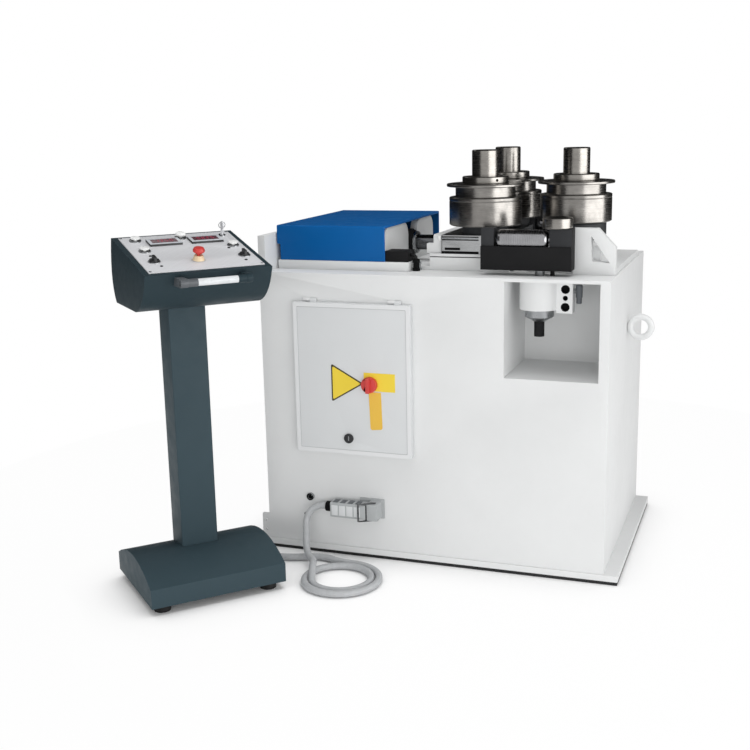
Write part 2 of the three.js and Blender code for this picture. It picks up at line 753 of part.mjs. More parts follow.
function driveUnit(parent, name, { x, y }, seatHeight, flange) {
  const gearboxDrop = 45;
  const gearboxLength = 215;
  const motorLength = 130;
  const portFace = 4;
  const gearboxTop = tableHeight - gearboxDrop;
  const gearboxFloor = gearboxTop - gearboxLength;
  const motorFloor = gearboxFloor - motorLength;
  const bore = shaftRadius * facetShare + seatGap;
  const profile = [
    [0, motorFloor],
    [motorRadius, motorFloor],
    [motorRadius, gearboxFloor],
    [gearboxRadius, gearboxFloor + portFace],
    [gearboxRadius, gearboxTop - portFace],
    [bearingRadius, gearboxTop],
    [bearingRadius, seatHeight + seatGap],
    [flange, seatHeight + seatGap],
    [flange, housingTop - portFace / 2],
    [flange - portFace / 2, housingTop],
    [bore, housingTop],
    [bore, shaftSeat],
    [0, shaftSeat],
  ];
  place(parent, name, turned(profile, 24, x, y), 'casting');
}

// Roll, collar and shaft of one station

function rollStation(parent, tag, { x, y, keyTurn, holeTurn }) {
  const bore = shaftRadius * facetShare + seatGap;
  const edge = 2;
  const shaftFloor = shaftSeat + seatGap;
  const centreDrill = 9;
  const keyWidth = 6;
  const keyDepth = 4;
  const keyLength = 28;
  const collarHole = 4.5;
  const collarFloor = rimTop + seatGap;
  const roll = [
    [bore, drumFloor],
    [drumRadius - edge, drumFloor],
    [drumRadius, drumFloor + edge],
    [drumRadius, drumTop - edge],
    [drumRadius - edge, drumTop],
    [neckRadius, drumTop],
    [neckRadius, rimFloor],
    [rimRadius - edge, rimFloor],
    [rimRadius, rimFloor + edge],
    [rimRadius, rimTop - edge],
    [rimRadius - edge, rimTop],
    [bore, rimTop],
    [bore, drumFloor],
  ];
  place(parent, `roll_${tag}`, turned(roll, 32, x, y), 'steel');

  const ring = toSolid(turned([
    [bore, collarFloor],
    [collarRadius - edge, collarFloor],
    [collarRadius, collarFloor + edge],
    [collarRadius, collarFloor + collarHeight - edge],
    [collarRadius - edge, collarFloor + collarHeight],
    [bore, collarFloor + collarHeight],
    [bore, collarFloor],
  ], 26));
  const hole = toSolid(new THREE.CylinderGeometry(collarHole, collarHole, collarRadius, 8));
  const holeAt = hole.translate([0, -collarRadius - collarHole, collarFloor + collarHeight / 2])
    .rotate([0, 0, holeTurn]);
  place(parent, `collar_${tag}`, toGeometry(ring.subtract(holeAt).translate([x, y, 0])), 'steel');

  const bar = toSolid(turned([
    [0, shaftFloor],
    [shaftRadius, shaftFloor],
    [shaftRadius, shaftTop - edge],
    [shaftRadius - edge, shaftTop],
    [centreDrill, shaftTop],
    [0, shaftTop - centreDrill],
  ], 24));
  const key = block([-keyWidth / 2, keyWidth / 2], [-shaftRadius - cutOverrun, -shaftRadius + keyDepth],
    [shaftTop - keyLength, shaftTop + cutOverrun]).rotate([0, 0, keyTurn]);
  place(parent, `shaft_${tag}`, toGeometry(bar.subtract(key).translate([x, y, 0])), 'steel');
}

// Anchor of the fixed roll: a round boss on a foot plate, with a windowed cheek and a web in front

function rollAnchor() {
  const bossRadius = 110;
  const footThickness = 18;
  const webNear = 90;
  const webWidth = 79;
  const shoulderReach = 75;
  const windowPlaces = [[54, 119], [57, 42], [111, 38]];
  const cheekInner = -anchorHalfWidth + cheekThickness;
  const floorZ = tableHeight + seatGap;
  const boss = pinZ(bossRadius, floorZ, anchorDeck, 32, stationC.x, stationC.y);
  const foot = block([stationC.x - bossRadius, anchorRight], [cheekInner - weldThrow, anchorHalfWidth],
    [floorZ, tableHeight + footThickness]);
  const web = block([anchorLeft, anchorLeft + webWidth], [cheekInner - weldThrow, -webNear], [floorZ, anchorDeck]);
  const cheek = outline([[anchorLeft, floorZ], [anchorRight, floorZ], [anchorRight, anchorDeck],
    [anchorLeft + shoulderReach, anchorTop], [anchorLeft, anchorTop]]);
  const window = outline(windowPlaces.map(([reach, rise]) => [anchorLeft + reach, tableHeight + rise]).reverse());
  const anchor = cut(
    join(boss, foot, web, carriedAlongY(cheek, -anchorHalfWidth, cheekInner)),
    carriedAlongY(window, -anchorHalfWidth - cutOverrun, cheekInner + cutOverrun),
    pinZ(bearingRadius * facetShare + seatGap, floorZ - cutOverrun, anchorDeck + cutOverrun, 24,
      stationC.x, stationC.y));
  place(machine, 'roll_anchor', toGeometry(anchor), 'paint');
}

// Guide set: lift cylinder, yoke, support roll and side roll; the front set is mirrored for the rear

const guideBore = supportRollRadius / 3;

const liftBoreDrop = 100;

function liftCylinder() {
  const top = tableHeight - tableLip - seatGap;
  const barrelDrop = 103;
  const ringDrop = 127;
  const coneDrop = 142;
  const stubDrop = 190;
  const ringRadius = 45;
  const coneRadius = 20;
  const stubRadius = 16;
  const bore = liftRodRadius + seatGap;
  const barrel = toSolid(turned([
    [0, -stubDrop],
    [stubRadius, -stubDrop],
    [stubRadius, -coneDrop],
    [coneRadius, -coneDrop],
    [ringRadius, -ringDrop],
    [ringRadius, -barrelDrop],
    [liftRadius, -barrelDrop],
    [liftRadius, top - tableHeight],
    [bore, top - tableHeight],
    [bore, -liftBoreDrop],
    [0, -liftBoreDrop],
  ], 26, liftX, -guideY)).translate([0, 0, tableHeight]);
  const portReach = 6;
  const portRight = 432;
  const portDrops = [112, 20];
  const portHalf = 24;
  const ports = [[14, 38], [8, 65], [14, 93]];
  const portX = (liftX + liftRadius + portRight) / 2;
  const blockSolid = block([liftX + liftRadius - portReach, portRight], [-guideY - portHalf, -guideY + portHalf],
    portDrops.map((drop) => tableHeight - drop));
  const holes = ports.map(([radius, drop]) => pinY(radius, -guideY - portHalf - cutOverrun,
    -guideY - portHalf / 4, 10, portX, tableHeight - drop));
  const pegBore = pinZ(pegRadius + seatGap, pegFloor - cutOverrun, top + cutOverrun, 12, pegX, -guideY);
  return toGeometry(cut(barrel.add(blockSolid), pegBore, ...holes));
}

function guideYoke() {
  const forkRight = 187;
  const pedestalLeft = 356;
  const lipThickness = 4;
  const shelfRise = 77;
  const setBack = 8;
  const pinHoleDepth = 30;
  const front = -guideY - yokeDepth / 2;
  const back = -guideY + yokeDepth / 2;
  const silhouette = outline([[yokeLeft, yokeFloor], [yokeRight, yokeFloor], [yokeRight, guideTop],
    [pedestalLeft, guideTop], [pedestalLeft, yokeLip], [forkRight, yokeLip], [forkRight, guideTop],
    [yokeLeft, guideTop]]);
  const trough = block([forkRight - weldThrow / 2, pedestalLeft + weldThrow / 2],
    [front + lipThickness, back + cutOverrun], [tableHeight + shelfRise, guideTop + cutOverrun]);
  const upperFace = block([yokeLeft - cutOverrun, yokeRight + cutOverrun], [front - cutOverrun, front + setBack],
    [yokeLip, guideTop + cutOverrun]);
  const axleReach = supportJournal + seatGap * 2;
  const axleBore = pinX(guideBore + seatGap, supportRollLeft - axleReach, supportRollRight + axleReach, 16,
    -guideY, supportRollHeight);
  const pinBore = pinZ(guideBore + seatGap, guideTop - pinHoleDepth, guideTop + cutOverrun, 16,
    sideRollX, -guideY);
  const yoke = cut(carriedAlongY(silhouette, front, back), trough, upperFace, axleBore, pinBore);
  const rodFloor = tableHeight - liftBoreDrop + runningGap;
  return toGeometry(join(yoke,
    pinZ(liftRodRadius, rodFloor, yokeFloor + weldThrow, 20, liftX, -guideY),
    pinZ(pegRadius, pegFloor, yokeFloor + weldThrow, 12, pegX, -guideY)));
}

function supportRoll() {
  const edge = 5;
  const profile = [
    [0, supportRollLeft - supportJournal],
    [guideBore, supportRollLeft - supportJournal],
    [guideBore, supportRollLeft],
    [supportRollRadius - edge, supportRollLeft],
    [supportRollRadius, supportRollLeft + edge],
    [supportRollRadius, supportRollRight - edge],
    [supportRollRadius - edge, supportRollRight],
    [guideBore, supportRollRight],
    [guideBore, supportRollRight + supportJournal],
    [0, supportRollRight + supportJournal],
  ];
  return turnedAlongX(profile, 22, -guideY, supportRollHeight);
}

function sideRoll() {
  const edge = 3;
  const hubRadius = 20;
  const hubSink = 8;
  const pinDepth = 26;
  const floorZ = guideTop + seatGap;
  const top = floorZ + sideRollHeight;
  const profile = [
    [0, floorZ - pinDepth],
    [guideBore, floorZ - pinDepth],
    [guideBore, floorZ],
    [sideRollRadius - edge, floorZ],
    [sideRollRadius, floorZ + edge],
    [sideRollRadius, top - edge],
    [sideRollRadius - edge, top],
    [sideRollRadius * 0.75, top],
    [hubRadius * 1.2, top - hubSink],
    [0, top - hubSink],
  ];
  return turned(profile, 26, sideRollX, -guideY);
}

function guideSets() {
  const pieces = [
    ['lift_cylinder', liftCylinder(), 'paint'],
    ['guide_yoke', guideYoke(), 'black'],
    ['support_roll', supportRoll(), 'bright'],
    ['side_roll', sideRoll(), 'bright'],
  ];
  for (const [name, geometry, look] of pieces) {
    place(machine, `${name}_front`, geometry, look);
    place(machine, `${name}_rear`, toGeometry(toSolid(mirroredY(toGeometry(toSolid(geometry))))), look);
  }
}

// Lifting eye on the right wall

function liftingEye() {
  const eyeDrop = 204;
  const ringRadius = 33.5;
  const barRadius = 10.5;
  const eye = new THREE.TorusGeometry(ringRadius, barRadius, 8, 24);
  eye.rotateX(Math.PI / 2);
  eye.translate(cabinetRight + seatGap + ringRadius + barRadius, 0, tableHeight - eyeDrop);
  place(machine, 'lifting_eye', eye, 'paint');
}

// Industrial connector, its locking bail and the small service socket

const plugX = [-333, -208];
const plugReach = 60;
const plugClear = 14;
const plugY = [frontY - plugReach, frontY - plugClear];
const plugFloorShare = 0.41783;
const plugHeight = 50;
const plugFloor = doorBottom * plugFloorShare;
const plugZ = [plugFloor, plugFloor + plugHeight];
const glandLength = 24;
const exitReach = 30;
const exitRise = 26;
const conduitExit = { x: plugX[0] - glandLength, y: frontY - exitReach, z: plugFloor + exitRise };

function connector() {
  const baseLeft = plugX[1] + seatGap;
  const baseWidth = 36.7;
  const baseX = [baseLeft, baseLeft + baseWidth];
  const baseRise = 3;
  const flangeThickness = 6;
  const flangeMargin = 8;
  const edge = 5;
  const glandRadius = 17;
  const footReach = 40;
  const footX = [baseX[0] - footReach, baseX[1] + flangeMargin];
  const socketBase = join(
    carriedAlongX(roundedOutline([plugY[0] + baseRise, frontY - seatGap],
      [plugZ[0] - baseRise, plugZ[1] + baseRise], edge), baseX[0], baseX[1], 3),
    block(footX, [frontY - seatGap - flangeThickness, frontY - seatGap],
      [plugZ[0] - flangeMargin, plugZ[1] + flangeMargin]));
  place(machine, 'connector_base', toGeometry(socketBase), 'grey');

  const shell = carriedAlongX(roundedOutline(plugY, plugZ, edge), plugX[0], plugX[1], 3);
  const neck = pinX(glandRadius, conduitExit.x, plugX[0] + weldThrow, 20, conduitExit.y, conduitExit.z);
  const hollow = pinX(conduitRadius * 1.05 + seatGap, conduitExit.x - cutOverrun,
    conduitExit.x + glandLength / 2, 12, conduitExit.y, conduitExit.z);
  place(machine, 'connector_hood', toGeometry(join(shell, neck).subtract(hollow)), 'grey');

  const armThickness = 2.5;
  const armWidth = 9;
  const reach = 46;
  const pivotInset = 18;
  const pivotReach = 37;
  const bailClear = 2;
  const pivotX = baseX[0] + pivotInset;
  const pivotY = frontY - pivotReach;
  const bailY = plugY[0] - bailClear;
  const armOffset = plugZ[1] + baseRise + seatGap;
  const armFloor = plugZ[0] - baseRise - seatGap;
  const arm = outline([[pivotX + armWidth, pivotY - armWidth / 2], [pivotX + armWidth, pivotY + armWidth / 2],
    [pivotX - armWidth, pivotY + armWidth / 2], [pivotX - reach + armWidth, bailY + armWidth / 2],
    [pivotX - reach, bailY + armWidth / 2],
    [pivotX - reach, bailY - armWidth / 2], [pivotX - reach + armWidth, bailY - armWidth / 2]]);
  const bail = join(
    raised(arm, armOffset, armOffset + armThickness),
    raised(arm, armFloor - armThickness, armFloor),
    block([pivotX - reach, pivotX - reach + armThickness * 2], [bailY - armWidth / 2, bailY - seatGap],
      [armFloor - armThickness, armOffset + armThickness]));
  place(machine, 'connector_bail', toGeometry(bail), 'bright');
}

function serviceSocket() {
  const socketClear = 93;
  const socketRise = 44;
  const socketX = plugX[0] - socketClear;
  const socketZ = plugFloor + socketRise;
  const radius = 13;
  const rise = 9;
  const mouth = 7;
  const seat = frontY - seatGap;
  const profile = [
    [0, -seat],
    [radius, -seat],
    [radius, -seat + rise],
    [mouth, -seat + rise],
    [mouth, -seat + rise / 3],
    [0, -seat + rise / 3],
  ];
  place(machine, 'service_socket', turnedTowardsFront(profile, 20, socketX, socketZ), 'grey');
}

// Pedestal and console, built square to themselves and then turned

const pedestal = new THREE.Group();
pedestal.position.set(pedestalX, pedestalY, 0);
pedestal.rotation.z = pedestalTurn;
machine.add(pedestal);

function arcPoints(from, to, bulge, steps) {
  return Array.from({ length: steps + 1 }, (_, i) => {
    const share = i / steps;
    const lift = 4 * share * (1 - share);
    return [
      from[0] + (to[0] - from[0]) * share + bulge[0] * lift,
      from[1] + (to[1] - from[1]) * share + bulge[1] * lift,
    ];
  });
}

// The column stands in a shallow seat cut into the crowned top
const columnSeat = footHeight + skirtHeight + plinthCrown * 0.7;

// The conduit ends at a boss under the base plate's right side
const bossWidth = 44;
const bossFace = plinthWidth * 0.3;
const bossAlong = 53;
const bossFloor = 4;

function pedestalBase() {
  const footRadius = 26;
  const footInset = 44;
  const footThickness = 20;
  const sheet = 4;
  const arcSteps = 10;
  const half = plinthWidth / 2;
  const skirtTop = footHeight + skirtHeight;
  const profile = [[-plinthFront, footHeight], [plinthRear, footHeight],
    ...arcPoints([plinthRear, skirtTop], [-plinthFront, skirtTop], [0, plinthCrown], arcSteps)];
  let plinth = carriedAlongX(outline(profile), -half, half);
  plinth = plinth.subtract(block([-half + sheet, half - sheet], [-plinthFront + sheet, plinthRear - sheet],
    [footHeight - cutOverrun, skirtTop - sheet]));
  for (const x of [-half + footInset, half - footInset]) {
    for (const y of [-plinthFront + footInset, plinthRear - footInset]) {
      plinth = join(plinth, pinZ(footRadius, 0, footThickness, 14, x, y),
        pinZ(footRadius / 2, footThickness - weldThrow, skirtTop, 8, x, y));
    }
  }
  const boss = block([bossFace - bossWidth, bossFace], [bossAlong - bossWidth / 2, bossAlong + bossWidth / 2],
    [bossFloor, skirtTop]);
  const seatX = columnWidth / 2 + seatGap;
  const seatY = columnSize / 2 + seatGap;
  const seat = block([-seatX, seatX], [-seatY, seatY], [columnSeat, columnSeat + plinthCrown]);
  place(pedestal, 'pedestal_base', toGeometry(plinth.add(boss).subtract(seat)), 'slate');
}

const consoleSlope = Math.atan2(consoleRearHeight - consoleFrontHeight, consoleFront + consoleRear);

function consoleProfile() {
  const frontBulge = [-14, -18];
  const rearBulge = [26, -20];
  const floorFront = -170;
  const floorRear = 40;
  const steps = 7;
  return [
    [-consoleFront, consoleFrontHeight],
    ...arcPoints([-consoleFront, consoleFrontHeight], [floorFront, consoleFloor], frontBulge, steps).slice(1),
    ...arcPoints([floorRear, consoleFloor], [consoleRear, consoleRearHeight], rearBulge, steps),
  ];
}

function column() {
  const half = columnWidth / 2;
  const post = block([-half, half], [-columnSize / 2, columnSize / 2],
    [columnSeat + seatGap, consoleFloor - seatGap]);
  place(pedestal, 'pedestal_column', toGeometry(post), 'slate');
}

// Console parts lie in a frame on the sloping panel: x to the right, y up the slope, z off the panel
const desk = new THREE.Group();
desk.position.set(0, -consoleFront, consoleFrontHeight);
desk.rotation.x = consoleSlope;
pedestal.add(desk);

const deskDepth = Math.hypot(consoleFront + consoleRear, consoleRearHeight - consoleFrontHeight);
const panelMargin = 17;
const panelThickness = 3;
const panelHalf = consoleWidth / 2 - panelMargin;
const panelNear = panelMargin;
const panelFar = deskDepth - panelMargin;
const panelSeat = panelThickness + seatGap * 2;
const deskPoint = (acrossShare, upShare) => ({
  x: -panelHalf + 2 * panelHalf * acrossShare,
  y: panelNear + (panelFar - panelNear) * upShare,
});

const buttonRadius = 14;
const stemRadius = 5;
const stemLength = 16;
const collarRise = 3;
const stopCollarRise = 15;
const collarTop = seatGap + panelThickness + collarRise;
const leftShare = 0.12;
const rightShare = 0.91;
const rowShares = [0.88, 0.57, 0.27];

const controls = [
  { name: 'button_left_rear', ...deskPoint(leftShare, rowShares[0]), kind: 'button', look: 'grey' },
  { name: 'button_left_middle', ...deskPoint(leftShare, rowShares[1]), kind: 'button', look: 'grey' },
  { name: 'selector_left', ...deskPoint(leftShare, rowShares[2]), kind: 'selector', look: 'black' },
  { name: 'button_right_middle', ...deskPoint(rightShare, rowShares[1]), kind: 'button', look: 'grey' },
  { name: 'selector_right', ...deskPoint(rightShare, rowShares[2]), kind: 'selector', look: 'black' },
  { name: 'key_lever', ...deskPoint(rightShare, rowShares[0]), kind: 'key', look: 'bright' },
  { name: 'start_button', ...deskPoint(0.53, 0.89), kind: 'cap', look: 'white' },
  { name: 'stop_button', ...deskPoint(0.49, 0.23), kind: 'stop', look: 'red' },
];

function consoleShell() {
  const shell = carriedAlongX(outline(consoleProfile().reverse()), -consoleWidth / 2, consoleWidth / 2);
  const wellDepth = stemLength + panelSeat + cutOverrun;
  const wells = controls.map(({ x, y }) => {
    const well = pinZ(stemRadius * 1.1 + seatGap * 2, -wellDepth, cutOverrun, 8, x, y);
    return well.rotate([THREE.MathUtils.radToDeg(consoleSlope), 0, 0])
      .translate([0, -consoleFront, consoleFrontHeight]);
  });
  place(pedestal, 'console_shell', toGeometry(cut(shell, ...wells)), 'slate');
}

function consolePanel() {
  const displayWidth = 98;
  const displayDepth = 52;
  const displayRise = 7;
  const displayRow = 0.77;
  const displayShares = [0.347, 0.72];
  const collarWidth = 4;
  const top = seatGap + panelThickness;
  let panel = block([-panelHalf, panelHalf], [panelNear, panelFar], [seatGap, top]);
  for (const share of displayShares) {
    const { x, y } = deskPoint(share, displayRow);
    panel = panel.add(block([x - displayWidth / 2, x + displayWidth / 2], [y - displayDepth / 2, y + displayDepth / 2],
      [top - panelThickness / 2, top + displayRise]));
  }
  for (const { x, y, kind } of controls) {
    const rise = kind === 'stop' ? stopCollarRise : collarRise;
    const radius = kind === 'key' ? buttonRadius * 0.8 : buttonRadius + collarWidth;
    panel = panel.add(pinZ(radius, top - panelThickness / 2, top + rise, 16, x, y));
  }
  for (const { x, y } of controls) {
    panel = panel.subtract(pinZ(stemRadius * 1.1 + seatGap, -cutOverrun, top + stopCollarRise + cutOverrun, 8, x, y));
  }
  place(desk, 'console_panel', toGeometry(panel), 'panel');
}


function consoleControls() {
  const pushTravel = 4;
  const capHeight = 9;
  const stopRadius = 20;
  const stopHeight = 18;
  const capClear = 1;
  const stopSeat = seatGap + panelThickness + stopCollarRise + pushTravel + capClear;
  const keyHeight = 30;
  const keyThickness = 4;
  const keyBow = 12;
  for (const { name, x, y, kind, look } of controls) {
    const stem = (top) => pinZ(stemRadius, -stemLength, top, 8, x, y);
    const seat = collarTop + pushTravel + capClear;
    let solid;
    if (kind === 'button') {
      solid = join(pinZ(buttonRadius, seat, seat + capHeight / 2, 20, x, y), stem(seat + capHeight / 4));
    } else if (kind === 'cap') {
      solid = join(toSolid(turned([[0, seat], [buttonRadius, seat], [buttonRadius * 1.15, seat + capHeight / 2],
        [buttonRadius * 0.9, seat + capHeight], [0, seat + capHeight * 1.2]], 20, x, y)), stem(seat + capHeight / 4));
    } else if (kind === 'stop') {
      solid = join(toSolid(turned([[0, stopSeat], [stopRadius * 0.55, stopSeat], [stopRadius, stopSeat + stopHeight / 3],
        [stopRadius, stopSeat + stopHeight * 0.6], [stopRadius * 0.8, stopSeat + stopHeight],
        [0, stopSeat + stopHeight * 1.1]], 24, x, y)), stem(stopSeat + stopHeight / 4));
    } else if (kind === 'selector') {
      const low = collarTop + seatGap;
      solid = join(pinZ(buttonRadius, low, low + capHeight / 2, 20, x, y), stem(low + capHeight / 4),
        block([x - keyThickness, x + keyThickness], [y - buttonRadius * 0.9, y + buttonRadius * 0.9],
          [low + capHeight / 4, low + capHeight * 1.6]));
    } else {
      const low = collarTop + seatGap;
      solid = join(stem(low + keyHeight / 2),
        block([x - keyThickness / 2, x + keyThickness / 2], [y - keyBow / 2, y + keyBow / 2], [low, low + keyHeight]),
        pinX(keyBow, x - keyThickness / 2, x + keyThickness / 2, 16, y, low + keyHeight));
    }
    place(desk, name, toGeometry(solid), look);
  }
}

// Bar handle on two brackets under the panel's front edge

function consoleHandle() {
  const barRadius = 13;
  const barShares = [-0.55, 0.62];
  const bracketLength = 40;
  const standOff = 42;
  const drop = 22;
  const bracketThickness = 30;
  const z = consoleFrontHeight - drop;
  const y = -consoleFront - standOff;
  const ends = barShares.map((share) => share * consoleWidth / 2);
  let handle = pinX(barRadius, ends[0] + bracketLength / 2, ends[1] - bracketLength / 2, 20, y, z);
  const brackets = [[ends[0], ends[0] + bracketLength], [ends[1] - bracketLength, ends[1]]];
  for (const xs of brackets) {
    handle = handle.add(block(xs, [y - barRadius, -consoleFront / 2],
      [z - bracketThickness / 2, z + bracketThickness / 2]));
  }
  const shell = carriedAlongX(outline(consoleProfile().reverse()), -consoleWidth / 2 - cutOverrun,
    consoleWidth / 2 + cutOverrun);
  const room = shell.add(shell.translate([0, -seatGap, 0]));
  place(pedestal, 'console_handle', toGeometry(handle.subtract(room)), 'grey');
}

// Conduit: down from the connector, a flat spiral on the floor, then over to the pedestal

const dropRoute = [[-380, 31], [-402, 35], [-418, 42], [-424, 51], [-421, 63], [-414, 81], [-400, 109],
  [-384, 133]];
const dropHeightShares = [0.9971, 0.9284, 0.7994, 0.6132, 0.3983, 0.1977, 0.0688, 0.015];
const runRoute = [[-300, 92, 11.8], [-335, 79, 11.8], [-372, 77, 11.8], [-410, 88, 11.8], [-450, 103, 11.8],
  [-490, 112, 11.8], [-528, 110, 11.8]];
const loopReach = 229;
const loopCentre = [-237, frontY - loopReach];
const layerHeight = 36.4;
const spiralPitch = 24.2;
const spiralRadius = 88;
const spiralStart = 202;
const spiralTurn = 608;
const landing = 96;
const restHeight = conduitRadius + seatGap;

// A place given by its distance in front of the cabinet
const beforeFront = ([x, reach, z]) => new THREE.Vector3(x, frontY - reach, z);
const dropHeight = (share) => layerHeight + (conduitExit.z - layerHeight) * share;

function spiralPoint(turn) {
  const angle = THREE.MathUtils.degToRad(spiralStart + turn);
  const radius = spiralRadius + spiralPitch * turn / 360;
  return new THREE.Vector3(
    loopCentre[0] + radius * Math.cos(angle),
    loopCentre[1] + radius * Math.sin(angle), restHeight);
}

function tube(curve, steps, sides) {
  const section = new THREE.Shape(Array.from({ length: sides }, (_, i) => {
    const angle = (i + 0.5) / sides * Math.PI * 2;
    return new THREE.Vector2(conduitRadius * Math.cos(angle), conduitRadius * Math.sin(angle));
  }));
  return toGeometry(toSolid(new THREE.ExtrudeGeometry(section,
    { steps, bevelEnabled: false, extrudePath: curve })));
}

// The strand comes in over the outer turn, slides down inside it and winds outward from there
function loopPoints() {
  const leadSteps = 8;
  const stepTurn = 15;
  const first = spiralPoint(0);
  const heading = spiralPoint(1).sub(first).normalize();
  const points = [];
  for (let i = 0; i < leadSteps; i += 1) {
    const back = landing * (1 - i / leadSteps);
    const rise = THREE.MathUtils.smoothstep(back, -landing / 3, landing * 0.62);
    const point = first.clone().addScaledVector(heading, -back);
    point.z = restHeight + (layerHeight - restHeight) * rise;
    points.push(point);
  }
  for (let turn = 0; turn < spiralTurn; turn += stepTurn) {
    const rise = THREE.MathUtils.smoothstep(-THREE.MathUtils.degToRad(turn) * spiralRadius,
      -landing / 3, landing * 0.62);
    const point = spiralPoint(turn);
    point.z += (layerHeight - restHeight) * rise;
    points.push(point);
  }
  const last = spiralPoint(spiralTurn);
  const away = last.clone().sub(spiralPoint(spiralTurn - 1)).normalize();
  points.push(last, last.clone().addScaledVector(away, conduitRadius), last.clone().addScaledVector(away,
    conduitRadius * 2));
  return points;
}

function leastGap(points, turnPoints) {
  let least = Infinity;
  for (let i = 0; i < points.length; i += 1) {
    for (let j = i + turnPoints; j < points.length; j += 1) {
      least = Math.min(least, points[i].distanceTo(points[j]) - 2 * conduitRadius);
    }
  }
  return least;
}

function conduit() {
  const loop = loopPoints();
  const loopCurve = new THREE.CatmullRomCurve3(loop, false, 'centripetal');
  const loopSteps = loop.length;
  const fine = loopCurve.getSpacedPoints(loopSteps * 8);
  console.log(`conduit loop least gap to itself ${leastGap(fine, 8 * 12).toFixed(2)} mm`);
  place(machine, 'conduit_loop', tube(loopCurve, loopSteps, 6), 'conduit');

  const glandSeat = new THREE.Vector3(conduitExit.x + glandLength / 2 - seatGap, conduitExit.y, conduitExit.z);
  const glandFree = glandSeat.clone();
  glandFree.x -= conduitRadius * 2;
  const into = loop[1].clone().sub(loop[0]).normalize();
  const meet = loop[0].clone().addScaledVector(into, -seatGap);
  const beforeMeet = meet.clone().addScaledVector(into, -2 * conduitRadius);
  const route = dropRoute.map(([x, reach], i) => beforeFront([x, reach, dropHeight(dropHeightShares[i])]));
  const drop = [glandSeat, glandFree, ...route, beforeMeet, meet];
  place(machine, 'conduit_drop', tube(new THREE.CatmullRomCurve3(drop, false, 'centripetal'), 26, 8), 'conduit');

  const end = loop[loop.length - 1];
  const onward = end.clone().sub(loop[loop.length - 3]).normalize();
  const leave = end.clone().addScaledVector(onward, seatGap);
  const afterLeave = leave.clone().addScaledVector(onward, 2 * conduitRadius);
  const turn = (across, along) => new THREE.Vector3(across, along, restHeight)
    .applyAxisAngle(new THREE.Vector3(0, 0, 1), pedestalTurn)
    .add(new THREE.Vector3(pedestalX, pedestalY, 0));
  const seat = turn(bossFace + seatGap, bossAlong);
  const beforeSeat = turn(bossFace + seatGap + 2 * conduitRadius, bossAlong);
  const underSkirt = turn(plinthWidth / 2, bossAlong);
  const run = [leave, afterLeave, ...runRoute.map(beforeFront), underSkirt, beforeSeat, seat];
  place(machine, 'conduit_run', tube(new THREE.CatmullRomCurve3(run, false, 'centripetal'), 26, 8), 'conduit');
}

base();
cabinet();
door();
mountingPlate();
hydraulicUnit();
ramBed();
ramBuffer();
hood();
slideBed();
carriageSlab();
carriageEndPlate();
driveUnit(carriage, 'drive_a', stationA, slabTop, flangeRadius);
driveUnit(carriage, 'drive_b', stationB, slabTop, flangeRadius);
driveUnit(machine, 'drive_c', stationC, anchorDeck, anchorFlangeRadius);
rollStation(carriage, 'a', stationA);
rollStation(carriage, 'b', stationB);
rollStation(machine, 'c', stationC);
rollAnchor();
guideSets();
liftingEye();
connector();
serviceSocket();
pedestalBase();
column();
consoleShell();
consolePanel();
consoleControls();
consoleHandle();
conduit();

export default machine;
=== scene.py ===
import bpy
import bmesh
import json
import math
from mathutils import Matrix, Vector


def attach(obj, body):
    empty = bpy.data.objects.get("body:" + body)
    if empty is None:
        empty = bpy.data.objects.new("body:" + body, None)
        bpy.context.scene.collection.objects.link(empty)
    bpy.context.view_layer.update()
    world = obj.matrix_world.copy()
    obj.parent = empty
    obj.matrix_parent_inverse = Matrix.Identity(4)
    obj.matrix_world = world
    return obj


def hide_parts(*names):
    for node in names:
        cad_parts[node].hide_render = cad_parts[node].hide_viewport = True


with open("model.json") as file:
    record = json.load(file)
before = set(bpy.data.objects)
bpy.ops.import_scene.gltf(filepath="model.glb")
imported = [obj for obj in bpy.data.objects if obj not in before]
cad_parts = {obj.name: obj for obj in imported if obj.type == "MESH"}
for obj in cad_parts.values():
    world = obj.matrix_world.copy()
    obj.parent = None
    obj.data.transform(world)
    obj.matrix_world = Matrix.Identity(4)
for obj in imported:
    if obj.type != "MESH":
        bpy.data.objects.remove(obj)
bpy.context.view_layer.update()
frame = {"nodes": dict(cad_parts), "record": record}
NODES = frame["nodes"]
BODY = {n: b for b, ns in frame["record"]["behaviour"]["bodies"].items() for n in ns}
scene = bpy.context.scene

# Lengths are in mm, and MM turns them into Blender's metres. X runs to the machine's right, -Y is its front.
MM = 0.001
SIDES = {"front": -1, "rear": 1}

CAMERA_ANGLES = (20.085, 12.796, 1.211)  # yaw, pitch and roll in degrees
CAMERA_AT = (1.0323, -3.7308, 1.4327)  # metres
FOCAL_PIXELS = 1131.76
PICTURE_PIXELS = 750
SENSOR = 36

RAM_Z = 1012  # height of the ram's axis
GUIDE_Y = 303  # the guide sets stand at this distance on both sides
LIFT_X = 326  # the lift cylinders' axis
SIDE_ROLL_X = 379
SUPPORT_ROLL_Z = 1059
SLAB_BAR = (237.5, 1052.5)  # distance and height of the polished bars along the slab
ROLLS = {  # place, and the turn of the keyway and of the collar's hole in degrees
    "a": (116, -155.5, 4, 44),
    "b": (116, 155.5, 110, 150),
    "c": (380, 0, 46, 170),
}
ROLL_BORE = 43.7
COLLAR_HOLE_Z = 1233.3
SOCKET_XZ = (-426, 194)
DOOR_BOX = (-459, -59, 359, 859)  # X and Z limits
DOOR_FACE = -417.2
PEDESTAL_TURN = 47
PANEL_SLOPE = 12.76


def add_object(name, data):
    made = bpy.data.objects.new(name, data)
    scene.collection.objects.link(made)
    return made


